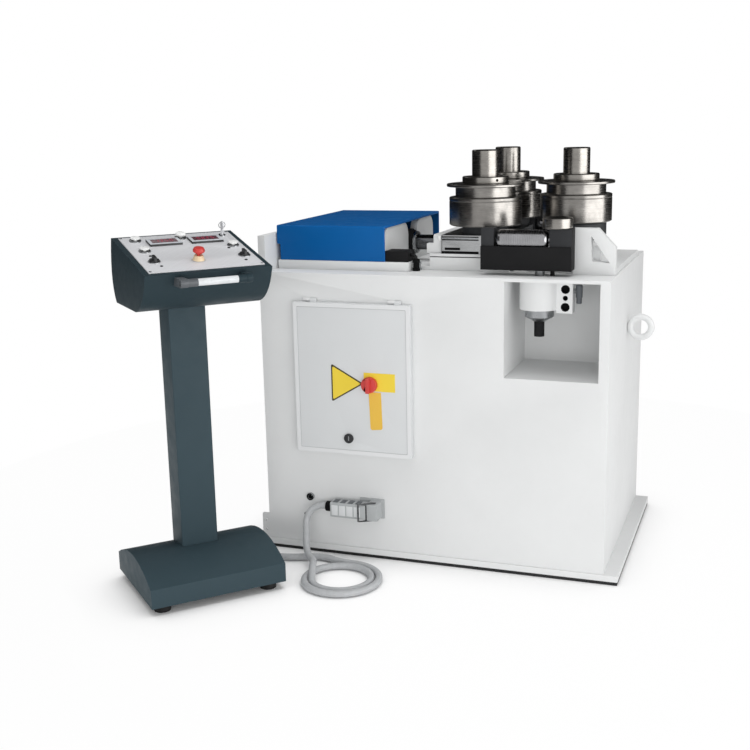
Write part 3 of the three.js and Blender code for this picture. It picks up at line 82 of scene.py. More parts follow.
# ---------------------------------------------------------------- camera
def make_camera():
    yaw, pitch, roll = (math.radians(a) for a in CAMERA_ANGLES)
    forward = Vector((-math.sin(yaw) * math.cos(pitch), math.cos(yaw) * math.cos(pitch), -math.sin(pitch)))
    flat = Vector((math.cos(yaw), math.sin(yaw), 0))
    drop = forward.cross(flat)
    right = math.cos(roll) * flat + math.sin(roll) * drop
    down = -math.sin(roll) * flat + math.cos(roll) * drop
    data = bpy.data.cameras.new("camera")
    data.sensor_width = SENSOR
    data.lens = FOCAL_PIXELS / PICTURE_PIXELS * SENSOR
    data.clip_end = 60
    camera = add_object("camera", data)
    turn = Matrix((right, -down, -forward)).transposed()
    camera.matrix_world = Matrix.Translation(CAMERA_AT) @ turn.to_4x4()
    scene.camera = camera


make_camera()


# ---------------------------------------------------------------- materials
def srgb(r, g, b):
    def lin(c):
        c /= 255
        return c / 12.92 if c <= 0.04045 else ((c + 0.055) / 1.055) ** 2.4
    return (lin(r), lin(g), lin(b), 1)


class Look:
    """One procedural material, built up step by step."""

    def __init__(self, name, rough=0.5, metal=0.0, spec=0.5):
        self.mat = bpy.data.materials.new(name)
        self.mat.use_nodes = True
        self.tree = self.mat.node_tree
        self.bsdf = self.tree.nodes["Principled BSDF"]
        for socket, value in (("Roughness", rough), ("Metallic", metal), ("Specular IOR Level", spec)):
            self.bsdf.inputs[socket].default_value = value
        self.height = None

    def node(self, kind, **values):
        made = self.tree.nodes.new("ShaderNode" + kind)
        for key, value in values.items():
            if key in made.inputs:
                made.inputs[key].default_value = value
            else:
                setattr(made, key, value)
        return made

    def link(self, a, b):
        self.tree.links.new(a, b)

    def coords(self, which, scale):
        tex = self.node("TexCoord")
        mapping = self.node("Mapping")
        mapping.inputs["Scale"].default_value = scale
        self.link(tex.outputs[which], mapping.inputs["Vector"])
        return mapping.outputs["Vector"]

    def noise(self, scale, detail=3, rough=0.5, stretch=(1, 1, 1), which="Object"):
        made = self.node("TexNoise", Scale=scale, Detail=detail, Roughness=rough)
        self.link(self.coords(which, stretch), made.inputs["Vector"])
        return made.outputs["Fac"]

    def ramp(self, value, low, high, to_low=0.0, to_high=1.0):
        """The value carried from low..high to to_low..to_high, and held at both ends."""
        made = self.node("MapRange")
        for key, v in (("From Min", low), ("From Max", high), ("To Min", to_low), ("To Max", to_high)):
            made.inputs[key].default_value = v
        self.link(value, made.inputs["Value"])
        return made.outputs["Result"]

    def mix(self, factor, a, b):
        made = self.node("Mix", data_type="RGBA")
        for value, socket in ((factor, 0), (a, 6), (b, 7)):
            if isinstance(value, (tuple, float, int)):
                made.inputs[socket].default_value = value
            else:
                self.link(value, made.inputs[socket])
        return made.outputs[2]

    def colour(self, output):
        self.link(output, self.bsdf.inputs["Base Color"])
        return self

    def rough(self, output):
        self.link(output, self.bsdf.inputs["Roughness"])
        return self

    def bump(self, value, distance, strength=1.0):
        made = self.node("Bump")
        made.inputs["Distance"].default_value = distance
        made.inputs["Strength"].default_value = strength
        self.link(value, made.inputs["Height"])
        if self.height is not None:
            self.link(self.height, made.inputs["Normal"])
        self.height = made.outputs["Normal"]
        self.link(self.height, self.bsdf.inputs["Normal"])
        return self


def tone(colour, factor):
    return tuple(min(1, c * factor) for c in colour[:3]) + (1,)


def painted(name, colour, rough, peel, mottle=0.035, dust=0.06, spec=0.4):
    """Sprayed paint: peel is the depth of its orange peel in metres, mottle and dust vary its colour."""
    look = Look(name, rough=rough, spec=spec)
    broad = look.noise(3.2, 4, 0.6)
    fine = look.noise(38, 5, 0.65)
    base = look.mix(look.ramp(broad, 0.3, 0.7), tone(colour, 1 - mottle), tone(colour, 1 + mottle * 0.5))
    base = look.mix(look.ramp(fine, 0.56, 0.78, 0, dust), base, tone(colour, 0.72))
    look.colour(base)
    look.rough(look.ramp(look.noise(22, 4), 0.3, 0.7, rough - 0.05, rough + 0.09))
    look.bump(look.noise(420, 2, 0.5), peel, 0.6)
    look.bump(look.noise(2.4, 2, 0.5), 0.0012, 0.25)
    return look.mat


def turned_steel(name, colour, dark, rough, lines, blotch):
    """Steel with fine lines around its axis, which follow the lathe's UV, and darker clouds."""
    look = Look(name, rough=rough, metal=1.0)
    ring = look.noise(1, 3, 0.6, (2.0, 1400, 1), "UV")
    ring_broad = look.noise(1, 3, 0.6, (1.0, 160, 1), "UV")
    cloud = look.noise(26, 5, 0.62)
    base = look.mix(look.ramp(cloud, 0.36, 0.68, 0, blotch), colour, dark)
    base = look.mix(look.ramp(ring_broad, 0.4, 0.75, 0, lines * 0.5), base, tone(dark, 0.8))
    base = look.mix(look.ramp(look.noise(190, 3, 0.6), 0.62, 0.75, 0, 0.35), base, tone(dark, 0.55))
    look.colour(base)
    look.rough(look.ramp(ring, 0.3, 0.7, rough - 0.07, rough + 0.1))
    look.bump(ring, 0.00002, lines)
    look.bump(look.noise(60, 3), 0.00003, 0.25)
    return look.mat


def ground_steel(name, colour, rough, stretch=(6, 900, 900), blotch=0.25, metal=1.0):
    """Steel or alloy with a straight grain, stretched along the axis of the smallest number."""
    look = Look(name, rough=rough, metal=metal)
    grain = look.noise(1, 3, 0.6, stretch)
    cloud = look.noise(14, 4, 0.6)
    base = look.mix(look.ramp(cloud, 0.35, 0.7, 0, blotch), colour, tone(colour, 0.55))
    base = look.mix(look.ramp(grain, 0.35, 0.7, 0, 0.3), base, tone(colour, 0.7))
    look.colour(base)
    look.rough(look.ramp(grain, 0.3, 0.7, rough - 0.06, rough + 0.12))
    look.bump(grain, 0.00003, 0.5)
    return look.mat


def plastic(name, colour, rough, grain=700, depth=0.00003, spec=0.5):
    """Moulded plastic or rubber with a fine grain of the given depth in metres."""
    look = Look(name, rough=rough, spec=spec)
    look.colour(look.mix(look.ramp(look.noise(60, 4), 0.35, 0.7), tone(colour, 0.93), tone(colour, 1.04)))
    look.rough(look.ramp(look.noise(120, 3), 0.3, 0.7, rough - 0.06, rough + 0.08))
    look.bump(look.noise(grain, 2), depth, 0.8)
    return look.mat


# Colour, roughness, peel, mottle, dust, specular level.
PAINTS = {
    "machine_grey": ((219, 220, 220), 0.55, 0.00014),
    "door_grey": ((210, 212, 213), 0.5, 0.00022, 0.02, 0.03),
    "hood_blue": ((1, 88, 154), 0.4, 0.00012, 0.06, 0.08, 0.16),
    # a lighter copy of the hood's blue, painted highlight for the flange's lit edge
    "hood_rim": ((6, 100, 176), 0.45, 0.00012, 0.04, 0.05, 0.3),
    "black_steel": ((27, 27, 28), 0.6, 0.0002, 0.2, 0.35, 0.12),
    "fork_grey": ((50, 51, 53), 0.55, 0.0002, 0.15, 0.3, 0.15),
    # black for black parts, and painted shade in holes, grooves and vent openings
    "port_black": ((14, 14, 15), 0.6, 0.0002, 0.2, 0.3, 0.1),
    # black of the base strip, partly a painted contact shadow
    "base_black": ((34, 34, 35), 0.6, 0.0002, 0.2, 0.3, 0.3),
    "slate_paint": ((54, 70, 77), 0.5, 0.00022, 0.06, 0.08, 0.16),
    # a darker copy of the slate paint, painted shade for the console shell's shaded front
    "shell_slate": ((40, 54, 60), 0.5, 0.00022, 0.06, 0.08, 0.14),
    "drive_casting": ((46, 48, 50), 0.55, 0.0006, 0.2, 0.3, 0.3),
    "grey_alloy": ((156, 159, 160), 0.45, 0.0003, 0.08, 0.15),
    "plug_grey": ((170, 173, 174), 0.48, 0.0005, 0.08, 0.2),
    "plug_light": ((208, 210, 211), 0.42, 0.0003, 0.05, 0.1),
    "yellow_plate": ((233, 205, 62), 0.46, 0.00006, 0.03, 0.05),
    "amber_plate": ((228, 184, 72), 0.46, 0.00006, 0.06, 0.1),
    # a lighter copy of the door's grey, painted highlight for the light lines along the door's raised rim
    "rim_grey": ((220, 221, 222), 0.5, 0.00014, 0.02, 0.03),
    # a mid grey for painted shade: the line inside the door's rim and the ring round the stop button
    "line_grey": ((184, 186, 187), 0.6, 0.00014, 0.05, 0.1),
}
# Colour, dark colour, roughness, strength of the lines, strength of the clouds.
TURNED = {
    "roll_steel": ((146, 143, 139), (96, 94, 91), 0.25, 0.3, 0.5),
    "shaft_steel": ((150, 147, 142), (104, 100, 97), 0.26, 0.4, 0.45),
    "chrome": ((176, 178, 180), (126, 128, 130), 0.16, 0.25, 0.25),
    "dark_chrome": ((104, 105, 107), (62, 63, 64), 0.16, 0.25, 0.4),
    "support_steel": ((158, 158, 160), (110, 111, 113), 0.24, 0.12, 0.3),
}
# Colour, roughness, stretch of the grain, strength of the clouds, metallic.
GROUND = {
    "slide_steel": ((176, 177, 178), 0.24),
    "zinc": ((166, 168, 170), 0.28, (60, 60, 60), 0.3),
    "panel_alloy": ((222, 223, 226), 0.42, (900, 10, 10), 0.05, 0.12),
}
# Colour, roughness, scale and depth of the grain, specular level.
PLASTICS = {
    "bracket_grey": ((84, 88, 92), 0.45, 500, 0.00006),
    "bar_white": ((214, 217, 219), 0.32),
    "red_plastic": ((201, 60, 56), 0.36),
    "cream_plastic": ((232, 208, 170), 0.42),
    "white_plastic": ((242, 243, 242), 0.28),
    "grey_plastic": ((196, 200, 205), 0.3),
    "black_plastic": ((32, 33, 35), 0.42),
    "yellow_edge": ((60, 54, 30), 0.5),
    "glass_dark": ((92, 58, 66), 0.12, 300, 0.00001),
    "digit_red": ((196, 60, 92), 0.3),
    "rubber": ((26, 26, 27), 0.7, 260, 0.0001, 0.3),
    "conduit_grey": ((176, 178, 180), 0.5, 500, 0.00005),
}
MAT = {name: painted(name, srgb(*colour), *rest) for name, (colour, *rest) in PAINTS.items()}
MAT.update({name: turned_steel(name, srgb(*colour), srgb(*dark), *rest)
            for name, (colour, dark, *rest) in TURNED.items()})
MAT.update({name: ground_steel(name, srgb(*colour), *rest) for name, (colour, *rest) in GROUND.items()})
MAT.update({name: plastic(name, srgb(*colour), *rest) for name, (colour, *rest) in PLASTICS.items()})


# ---------------------------------------------------------------- mesh helpers
def finish_mesh(name, bm, body, look, replaces=(), smooth=32):
    """A piece on a body, smooth where its faces meet at less than the angle smooth. It uses bm up."""
    bmesh.ops.remove_doubles(bm, verts=bm.verts, dist=1e-6)
    bmesh.ops.recalc_face_normals(bm, faces=bm.faces)
    mesh = bpy.data.meshes.new(name)
    bm.to_mesh(mesh)
    bm.free()
    mesh.polygons.foreach_set("use_smooth", [True] * len(mesh.polygons))
    mesh.set_sharp_from_angle(angle=math.radians(smooth))
    for one in look if isinstance(look, tuple) else [look]:
        mesh.materials.append(MAT[one])
    piece = add_object(name, mesh)
    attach(piece, body)
    if replaces:
        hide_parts(*replaces)
    return piece


def bevel_sharp(bm, width, segments=2, angle=30):
    """Breaks each edge sharper than the angle, by a width in mm."""
    edges = [e for e in bm.edges if len(e.link_faces) == 2 and e.calc_face_angle(0) > math.radians(angle)]
    if edges:
        bmesh.ops.bevel(bm, geom=edges, offset=width * MM, segments=segments, profile=0.6, affect="EDGES",
                        clamp_overlap=True, loop_slide=True)


def node_bmesh(node):
    """A CAD node's mesh with its flat facets joined into whole faces."""
    data = NODES[node].data
    bm = bmesh.new()
    verts = [bm.verts.new(v.co) for v in data.vertices]
    for p in data.polygons:
        try:
            bm.faces.new([verts[i] for i in p.vertices])
        except ValueError:
            pass
    bmesh.ops.remove_doubles(bm, verts=bm.verts, dist=2e-6)
    bmesh.ops.dissolve_degenerate(bm, edges=bm.edges, dist=1e-6)
    bmesh.ops.dissolve_limit(bm, angle_limit=math.radians(0.8), verts=bm.verts, edges=bm.edges)
    return bm


def dress(node, look, width=1.0, segments=2, angle=30):
    """The CAD piece again, with its edges broken and its own finish."""
    bm = node_bmesh(node)
    bevel_sharp(bm, width, segments, angle)
    return finish_mesh(node + "_skin", bm, BODY[node], look, (node,))


def corner(start, middle, end, steps):
    """A rounded corner as a quadratic curve from start to end, both included."""
    return [tuple(start * (1 - t) ** 2 + middle * 2 * t * (1 - t) + end * t ** 2)
            for t in (k / steps for k in range(steps + 1))]


def softened(profile, radius):
    """The profile with its corners rounded. The two ends of an open profile stay."""
    out = []
    count = len(profile)
    closed = profile[0] == profile[-1]
    for i, point in enumerate(profile):
        p = Vector(point)
        if (i == 0 or i == count - 1) and not closed:
            out.append(tuple(p))
            continue
        a = Vector(profile[i - 1] if i else profile[-2])
        b = Vector(profile[(i + 1) % count] if i < count - 1 else profile[1])
        u, v = (a - p), (b - p)
        if u.length < 1e-6 or v.length < 1e-6 or abs(u.normalized().dot(v.normalized())) > 0.995:
            out.append(tuple(p))
            continue
        cut = min(radius, u.length * 0.42, v.length * 0.42)
        out += corner(p + u.normalized() * cut, p, p + v.normalized() * cut, 3)
    return out


# The lathe's frames: the profile's height runs along the named axis.
AXES = {
    "Z": Matrix.Identity(3),
    "X": Matrix(((0, 0, 1), (1, 0, 0), (0, 1, 0))),
    "-Y": Matrix(((1, 0, 0), (0, 0, -1), (0, 1, 0))),
}


def lathe_bmesh(profile, centre, segments, axis="Z", soft=0.0, turn=None):
    """Profile of (radius, height) about an axis through centre, with a UV in metres."""
    bm = bmesh.new()
    uv = bm.loops.layers.uv.verify()
    points = softened(profile, soft) if soft else [tuple(p) for p in profile]
    frame3 = turn or AXES[axis]
    centre = Vector(centre) * MM
    runs = [0.0]
    for a, b in zip(points, points[1:]):
        runs.append(runs[-1] + (Vector(b) - Vector(a)).length * MM)
    widest = max(p[0] for p in points) * MM
    rows = []
    for r, h in points:
        if r < 1e-6:
            rows.append([bm.verts.new(centre + frame3 @ Vector((0, 0, h * MM)))])
            continue
        row = []
        for s in range(segments):
            a = 2 * math.pi * s / segments
            row.append(bm.verts.new(centre + frame3 @ Vector((r * math.cos(a), r * math.sin(a), h)) * MM))
        rows.append(row)
    for i in range(len(rows) - 1):
        low, high = rows[i], rows[i + 1]
        for s in range(segments):
            t = (s + 1) % segments
            corners = []
            if len(low) > 1:
                corners += [(low[s], s, i), (low[t], s + 1, i)]
            else:
                corners += [(low[0], s + 0.5, i)]
            if len(high) > 1:
                corners += [(high[t], s + 1, i + 1), (high[s], s, i + 1)]
            else:
                corners += [(high[0], s + 0.5, i + 1)]
            if len(corners) < 3:
                continue
            try:
                face = bm.faces.new([c[0] for c in corners])
            except ValueError:
                continue
            for loop, (_, across, row) in zip(face.loops, corners):
                loop[uv].uv = (across / segments * 2 * math.pi * widest, runs[row])
    return bm


def lathe(name, profile, centre, look, body, segments, axis="Z", soft=0.6, replaces=(), turn=None):
    bm = lathe_bmesh(profile, centre, segments, axis, soft, turn)
    return finish_mesh(name, bm, body, look, replaces, 38)


def prism_bmesh(points, low, high, plane="XY", bm=None):
    """A closed outline carried from low to high along the plane's normal."""
    bm = bm or bmesh.new()
    put = {
        "XY": lambda a, b, c: (a, b, c),
        "XZ": lambda a, b, c: (a, c, b),
        "YZ": lambda a, b, c: (c, a, b),
    }[plane]
    rows = [[bm.verts.new(Vector(put(a, b, h)) * MM) for a, b in points] for h in (low, high)]
    count = len(points)
    for i in range(count):
        j = (i + 1) % count
        bm.faces.new((rows[0][i], rows[0][j], rows[1][j], rows[1][i]))
    bm.faces.new(rows[0][::-1])
    bm.faces.new(rows[1])
    bmesh.ops.recalc_face_normals(bm, faces=bm.faces)
    return bm


def block_bmesh(xs, ys, zs, bm=None):
    return prism_bmesh([(xs[0], ys[0]), (xs[1], ys[0]), (xs[1], ys[1]), (xs[0], ys[1])], zs[0], zs[1], "XY", bm)


def block(name, xs, ys, zs, look, width, segments=2):
    """A box on the machine with its edges broken."""
    bm = block_bmesh(xs, ys, zs)
    bevel_sharp(bm, width, segments)
    return finish_mesh(name, bm, "machine", look)


def arc(cx, cy, radius, start, sweep, steps):
    """Points on an arc, both ends included; the angles are in degrees."""
    angles = [math.radians(start + sweep * k / steps) for k in range(steps + 1)]
    return [(cx + radius * math.cos(a), cy + radius * math.sin(a)) for a in angles]


def carve(bm, cutter):
    """Boolean cut of one bmesh by another, through Blender's exact solver. It uses both up."""
    def to_object(source, label):
        bmesh.ops.recalc_face_normals(source, faces=source.faces)
        mesh = bpy.data.meshes.new(label)
        source.to_mesh(mesh)
        source.free()
        return add_object(label, mesh)

    body = to_object(bm, "carve_body")
    tool = to_object(cutter, "carve_tool")
    step = body.modifiers.new("cut", "BOOLEAN")
    step.operation = "DIFFERENCE"
    step.solver = "EXACT"
    step.object = tool
    graph = bpy.context.evaluated_depsgraph_get()
    graph.update()
    made = bpy.data.meshes.new_from_object(body.evaluated_get(graph))
    out = bmesh.new()
    out.from_mesh(made)
    for one in (body, tool):
        data = one.data
        bpy.data.objects.remove(one)
        bpy.data.meshes.remove(data)
    bpy.data.meshes.remove(made)
    return out


def screw(name, at, look, radius, height, axis="Z", turn=None):
    """A cap screw on the machine, with a round socket, standing on its seat."""
    r, h = radius, height
    profile = [(0, 0), (r, 0), (r, h * 0.82), (r * 0.86, h), (r * 0.5, h), (r * 0.46, h * 0.35), (0, h * 0.3)]
    return lathe(name, profile, at, look, "machine", 24, axis, 0.25, turn=turn)


def dress_by(node, looks, pick, width=1.0, segments=2, angle=30, smooth=32, move=None):
    """As dress, with a look picked for each face by its middle and normal, and points moved by move."""
    bm = node_bmesh(node)
    if move:
        for vert in bm.verts:
            vert.co = move(vert.co / MM) * MM
    bevel_sharp(bm, width, segments, angle)
    for face in bm.faces:
        face.material_index = pick(face.calc_center_median() / MM, face.normal)
    return finish_mesh(node + "_skin", bm, BODY[node], looks, (node,), smooth)


def frame_bmesh(outer, inner, low, high):
    """A flat frame between two outlines of as many points in X and Z, from low to high in Y."""
    bm = bmesh.new()
    rows = [[bm.verts.new(Vector((x, y, z)) * MM) for x, z in line]
            for line, y in ((outer, low), (outer, high), (inner, high), (inner, low))]
    count = len(outer)
    for a, b in zip(rows, rows[1:] + rows[:1]):
        for i in range(count):
            j = (i + 1) % count
            bm.faces.new((a[i], a[j], b[j], b[i]))
    return bm


# ---------------------------------------------------------------- conduit
PEDESTAL = Vector((-690, -724, 0))
PED_U = Vector((math.cos(math.radians(PEDESTAL_TURN)), math.sin(math.radians(PEDESTAL_TURN)), 0))
PED_V = Vector((-PED_U.y, PED_U.x, 0))
UP = Vector((0, 0, 1))
LYING_Z = 11.8  # the conduit's middle where it lies on the floor
SPIRAL_AT = (-237, -624)
SPIRAL_START = 202  # degrees
SPIRAL_TURN = 608
SPIRAL_RADIUS = 88
SPIRAL_PITCH = 24.2
FALL = 24.6  # the line comes in this much higher, over the turn that lies below it
FALL_RUN = (-32, 59.52)  # where that fall ends and begins, as runs before the spiral's start
CONDUIT_CORE = 10.5  # radius between the ribs
RIB_HEIGHT = 0.95
RIB_PITCH = 5.2
RIB_SHAPE = (0.0, 0.62, 1.0, 0.62)  # one rib's rise over its pitch


def pedestal_point(u, v, z):
    return PEDESTAL + PED_U * u + PED_V * v + UP * z


def smooth_step(x, low, high):
    t = min(1, max(0, (x - low) / (high - low)))
    return t * t * (3 - 2 * t)


def height_at(back):
    """The conduit's height at a run before the spiral's start."""
    return LYING_Z + FALL * smooth_step(back, *FALL_RUN)


def spiral_point(turn):
    """The lying spiral at a turn in degrees."""
    a = math.radians(SPIRAL_START + turn)
    r = SPIRAL_RADIUS + SPIRAL_PITCH * turn / 360
    return Vector((SPIRAL_AT[0] + r * math.cos(a), SPIRAL_AT[1] + r * math.sin(a), LYING_Z))


def conduit_points():
    """The CAD conduit's own route, from the connector to the boss under the pedestal's base."""
    drop = [(-345.3, -425, 176), (-368.3, -425, 176), (-380, -426, 175.6), (-402, -430, 166), (-418, -437, 148),
            (-424, -446, 122), (-421, -458, 92), (-414, -476, 64), (-400, -504, 46), (-384, -528, 38.5)]
    points = [Vector(p) for p in drop]
    start = spiral_point(0)
    heading = (spiral_point(1) - start).normalized()
    loop = []
    for i in range(8):
        back = 96 * (1 - i / 8)
        p = start - heading * back
        p.z = height_at(back)
        loop.append(p)
    for turn in list(range(0, SPIRAL_TURN, 15)) + [SPIRAL_TURN]:
        p = spiral_point(turn)
        p.z = height_at(-math.radians(turn) * SPIRAL_RADIUS)
        loop.append(p)
    leave = (spiral_point(SPIRAL_TURN) - spiral_point(SPIRAL_TURN - 1)).normalized()
    loop.append(loop[-1] + leave * 23)
    run = [(-300, -487), (-335, -474), (-372, -472), (-410, -483), (-450, -498), (-490, -507), (-528, -505)]
    points += loop + [Vector((x, y, LYING_Z)) for x, y in run]
    points += [pedestal_point(u, 53, LYING_Z) for u in (215, 152.3, 129.3)]
    return points


def between(p, q, low, high, s):
    return p * ((high - s) / (high - low)) + q * ((s - low) / (high - low))


def centripetal(points, spacing):
    """Centripetal Catmull-Rom line through the points, cut into even steps."""
    ends = [points[0] * 2 - points[1]] + points + [points[-1] * 2 - points[-2]]
    cuts = 24
    fine = []
    for p0, p1, p2, p3 in zip(ends, ends[1:], ends[2:], ends[3:]):
        t = [0.0]
        for a, b in ((p0, p1), (p1, p2), (p2, p3)):
            t.append(t[-1] + max(1e-6, (b - a).length) ** 0.5)
        for k in range(cuts):
            s = t[1] + (t[2] - t[1]) * k / cuts
            a1 = between(p0, p1, t[0], t[1], s)
            a2 = between(p1, p2, t[1], t[2], s)
            a3 = between(p2, p3, t[2], t[3], s)
            b1 = between(a1, a2, t[0], t[2], s)
            b2 = between(a2, a3, t[1], t[3], s)
            fine.append(between(b1, b2, t[1], t[2], s))
    fine.append(points[-1])
    runs = [0.0]
    for a, b in zip(fine, fine[1:]):
        runs.append(runs[-1] + (b - a).length)
    count = round(runs[-1] / spacing)
    out, i = [], 0
    for k in range(count + 1):
        want = runs[-1] * k / count
        while i < len(fine) - 2 and runs[i + 1] < want:
            i += 1
        f = (want - runs[i]) / max(1e-9, runs[i + 1] - runs[i])
        out.append(fine[i].lerp(fine[i + 1], min(1, max(0, f))))
    return out


def tube_bmesh(path, radius_at, sides):
    """A round tube along the path, with its radius given for each point's index."""
    bm = bmesh.new()
    uv = bm.loops.layers.uv.verify()
    tangent = (path[1] - path[0]).normalized()
    side = tangent.orthogonal().normalized()
    rings = []
    for i, p in enumerate(path):
        ahead = (path[min(i + 1, len(path) - 1)] - path[max(i - 1, 0)]).normalized()
        side = (side - ahead * side.dot(ahead)).normalized()
        other = ahead.cross(side)
        r = radius_at(i)
        rings.append([bm.verts.new((p + side * (r * math.cos(a)) + other * (r * math.sin(a))) * MM)
                      for a in (2 * math.pi * s / sides for s in range(sides))])
    for i in range(len(rings) - 1):
        for s in range(sides):
            t = (s + 1) % sides
            face = bm.faces.new((rings[i][s], rings[i][t], rings[i + 1][t], rings[i + 1][s]))
            for loop, pair in zip(face.loops, ((s, i), (s + 1, i), (s + 1, i + 1), (s, i + 1))):
                loop[uv].uv = (pair[0] / sides, pair[1] * 2 * MM)
    bm.faces.new(rings[0][::-1])
    bm.faces.new(rings[-1])
    return bm


def make_conduit():
    """One ribbed skin for the three CAD pieces, with its middle line in metres and that line's length."""
    steps = len(RIB_SHAPE)
    path = centripetal(conduit_points(), RIB_PITCH / steps)[::-1]
    bm = tube_bmesh(path, lambda i: CONDUIT_CORE + RIB_HEIGHT * RIB_SHAPE[i % steps], 22)
    conduit = finish_mesh("conduit", bm, "machine", "conduit_grey", ("conduit_drop", "conduit_loop", "conduit_run"),
                          80)
    line = [tuple(p * MM) for p in path[::3]] + [tuple(path[-1] * MM)]
    length = sum((Vector(b) - Vector(a)).length for a, b in zip(line, line[1:]))
    return conduit, line, length


conduit, conduit_line, conduit_length = make_conduit()


# ---------------------------------------------------------------- cabinet
def make_cabinet():
    # The base strip is drawn out to the plate's edge, past the CAD strip, so that its black also stands for a painted
    # contact shadow under the plate.
    bm = block_bmesh((-598.6, 598.6), (-398.6, 398.6), (0, 10))
    bevel_sharp(bm, 0.8)
    finish_mesh("base_strip_skin", bm, BODY["base_strip"], "base_black", ("base_strip",))
    for node, look, width in (
            ("base_plate", "machine_grey", 1.6), ("cabinet_body", "machine_grey", 1.4),
            ("ram_bed", "machine_grey", 1.6), ("slide_bed", "machine_grey", 1.0),
            ("roll_anchor", "machine_grey", 1.6), ("carriage_end_plate", "machine_grey", 1.2),
            ("ram_hood", "hood_blue", 1.6), ("ram_cylinder", "black_steel", 1.2), ("ram_buffer", "black_steel", 1.2),
            ("hydraulic_unit", "drive_casting", 3.0), ("mounting_plate", "grey_alloy", 0.8),
            ("drive_a", "drive_casting", 1.5), ("drive_b", "drive_casting", 1.5), ("drive_c", "drive_casting", 1.5)):
        dress(node, look, width)
    lathe("lifting_eye_skin", arc(33.5, 0, 10.5, 0, 360, 28), (600.3, 0, 746), "machine_grey", "machine", 72, "-Y", 0,
          ("lifting_eye",))


make_cabinet()


def make_table_details():
    """Small parts on the table: thin black strips along the rails, the hood's flange in a lighter blue that is a
    painted highlight, gland ring, hose fittings.
    """
    for name, sign in SIDES.items():
        ys = sorted((sign * 242.1, sign * 243.3))
        block("rail_strip_" + name, (-45.5, 214.5), ys, (991.3, 993.6), "port_black", 0.2, 1)
    # The flange round the hood's open end takes the lighter blue, a painted highlight.
    arch = [(-306, 980.4)] + arc(-300, 1088, 6, 180, -90, 5) + arc(300, 1088, 6, 90, -90, 5) + [(306, 980.4)]
    mouth = [(300.6, 980.4), (300.6, 1080), (292, 1086), (-292, 1086), (-300.6, 1080), (-300.6, 980.4)]
    bm = prism_bmesh(arch + mouth, -181.2, -178.4, "YZ")
    bevel_sharp(bm, 0.5)
    finish_mesh("hood_flange", bm, "machine", "hood_rim")
    gland = [(26.8, -173.2), (36, -173.2), (38, -171.6), (38, -163), (35, -160.4), (26.8, -160.4), (26.8, -173.2)]
    lathe("gland_ring", gland, (0, 0, RAM_Z), "zinc", "machine", 48, "X", 0.4)
    fitting = [(0, 950.4), (13, 950.4), (13, 958), (10, 960), (10, 975), (12.5, 977), (12.5, 986), (9, 989), (0, 990)]
    lathe("tongue_fitting", fitting, (-82, -276, 0), "port_black", "machine", 6, "Z", 0.4)
    fitting = [(0, 950.4), (9, 950.4), (9, 957), (6, 959), (6, 968), (8, 970), (8, 976), (0, 978)]
    lathe("tongue_fitting_small", fitting, (-80, -252, 0), "zinc", "machine", 6, "Z", 0.3)
    hose = [Vector(p) for p in ((-82, -276, 986), (-84, -276, 996), (-96, -272, 1000), (-101, -268, 1000))]
    finish_mesh("tongue_hose", tube_bmesh(centripetal(hose, 3.0), lambda i: 5.5, 14), "machine", "rubber")
    stub = [(0, 432.1), (9, 432.1), (9, 437), (6.5, 438), (6.5, 447), (0, 447)]
    elbow = [(0, 866), (7, 866), (8.5, 868), (8.5, 884), (10.5, 886), (10.5, 921), (8.5, 924), (0, 924)]
    for name, sign in SIDES.items():
        lathe("port_stub_" + name, stub, (0, sign * GUIDE_Y, 905), "zinc", "machine", 6, "X", 0.3)
        lathe("port_elbow_" + name, elbow, (448, sign * GUIDE_Y, 0), "bracket_grey", "machine", 28, "Z", 0.6)


make_table_details()


def make_rear_cover():
    """Screwed service cover with ventilation louvres on the back wall."""
    block("rear_cover", (-430, -90), (395.1, 396.7), (420, 800), "machine_grey", 0.6)
    backwards = Matrix(((1, 0, 0), (0, 0, 1), (0, -1, 0)))
    for i in range(9):
        z = 470 + 17 * i
        bm = prism_bmesh([(396.5, z), (396.5, z + 10), (399.6, z + 3), (399.6, z + 1.6)], -370, -150, "YZ")
        bevel_sharp(bm, 0.4, 1)
        finish_mesh("rear_louvre_%d" % i, bm, "machine", "machine_grey")
        # Black strips under the louvres, painted shade in the vent openings.
        block("rear_vent_shade_%d" % i, (-368, -152), (396.6, 397.0), (z - 3.4, z - 0.2), "port_black", 0.1, 1)
    for i, (x, z) in enumerate(((-418, 432), (-102, 432), (-418, 788), (-102, 788), (-260, 788), (-260, 432))):
        screw("rear_screw_%d" % i, (x, 396.6, z), "zinc", 5, 3, turn=backwards)


make_rear_cover()


# ---------------------------------------------------------------- rolls
def spoke(degrees):
    """Unit direction at an angle from -Y towards +X."""
    a = math.radians(degrees)
    return Vector((math.sin(a), -math.cos(a), 0))


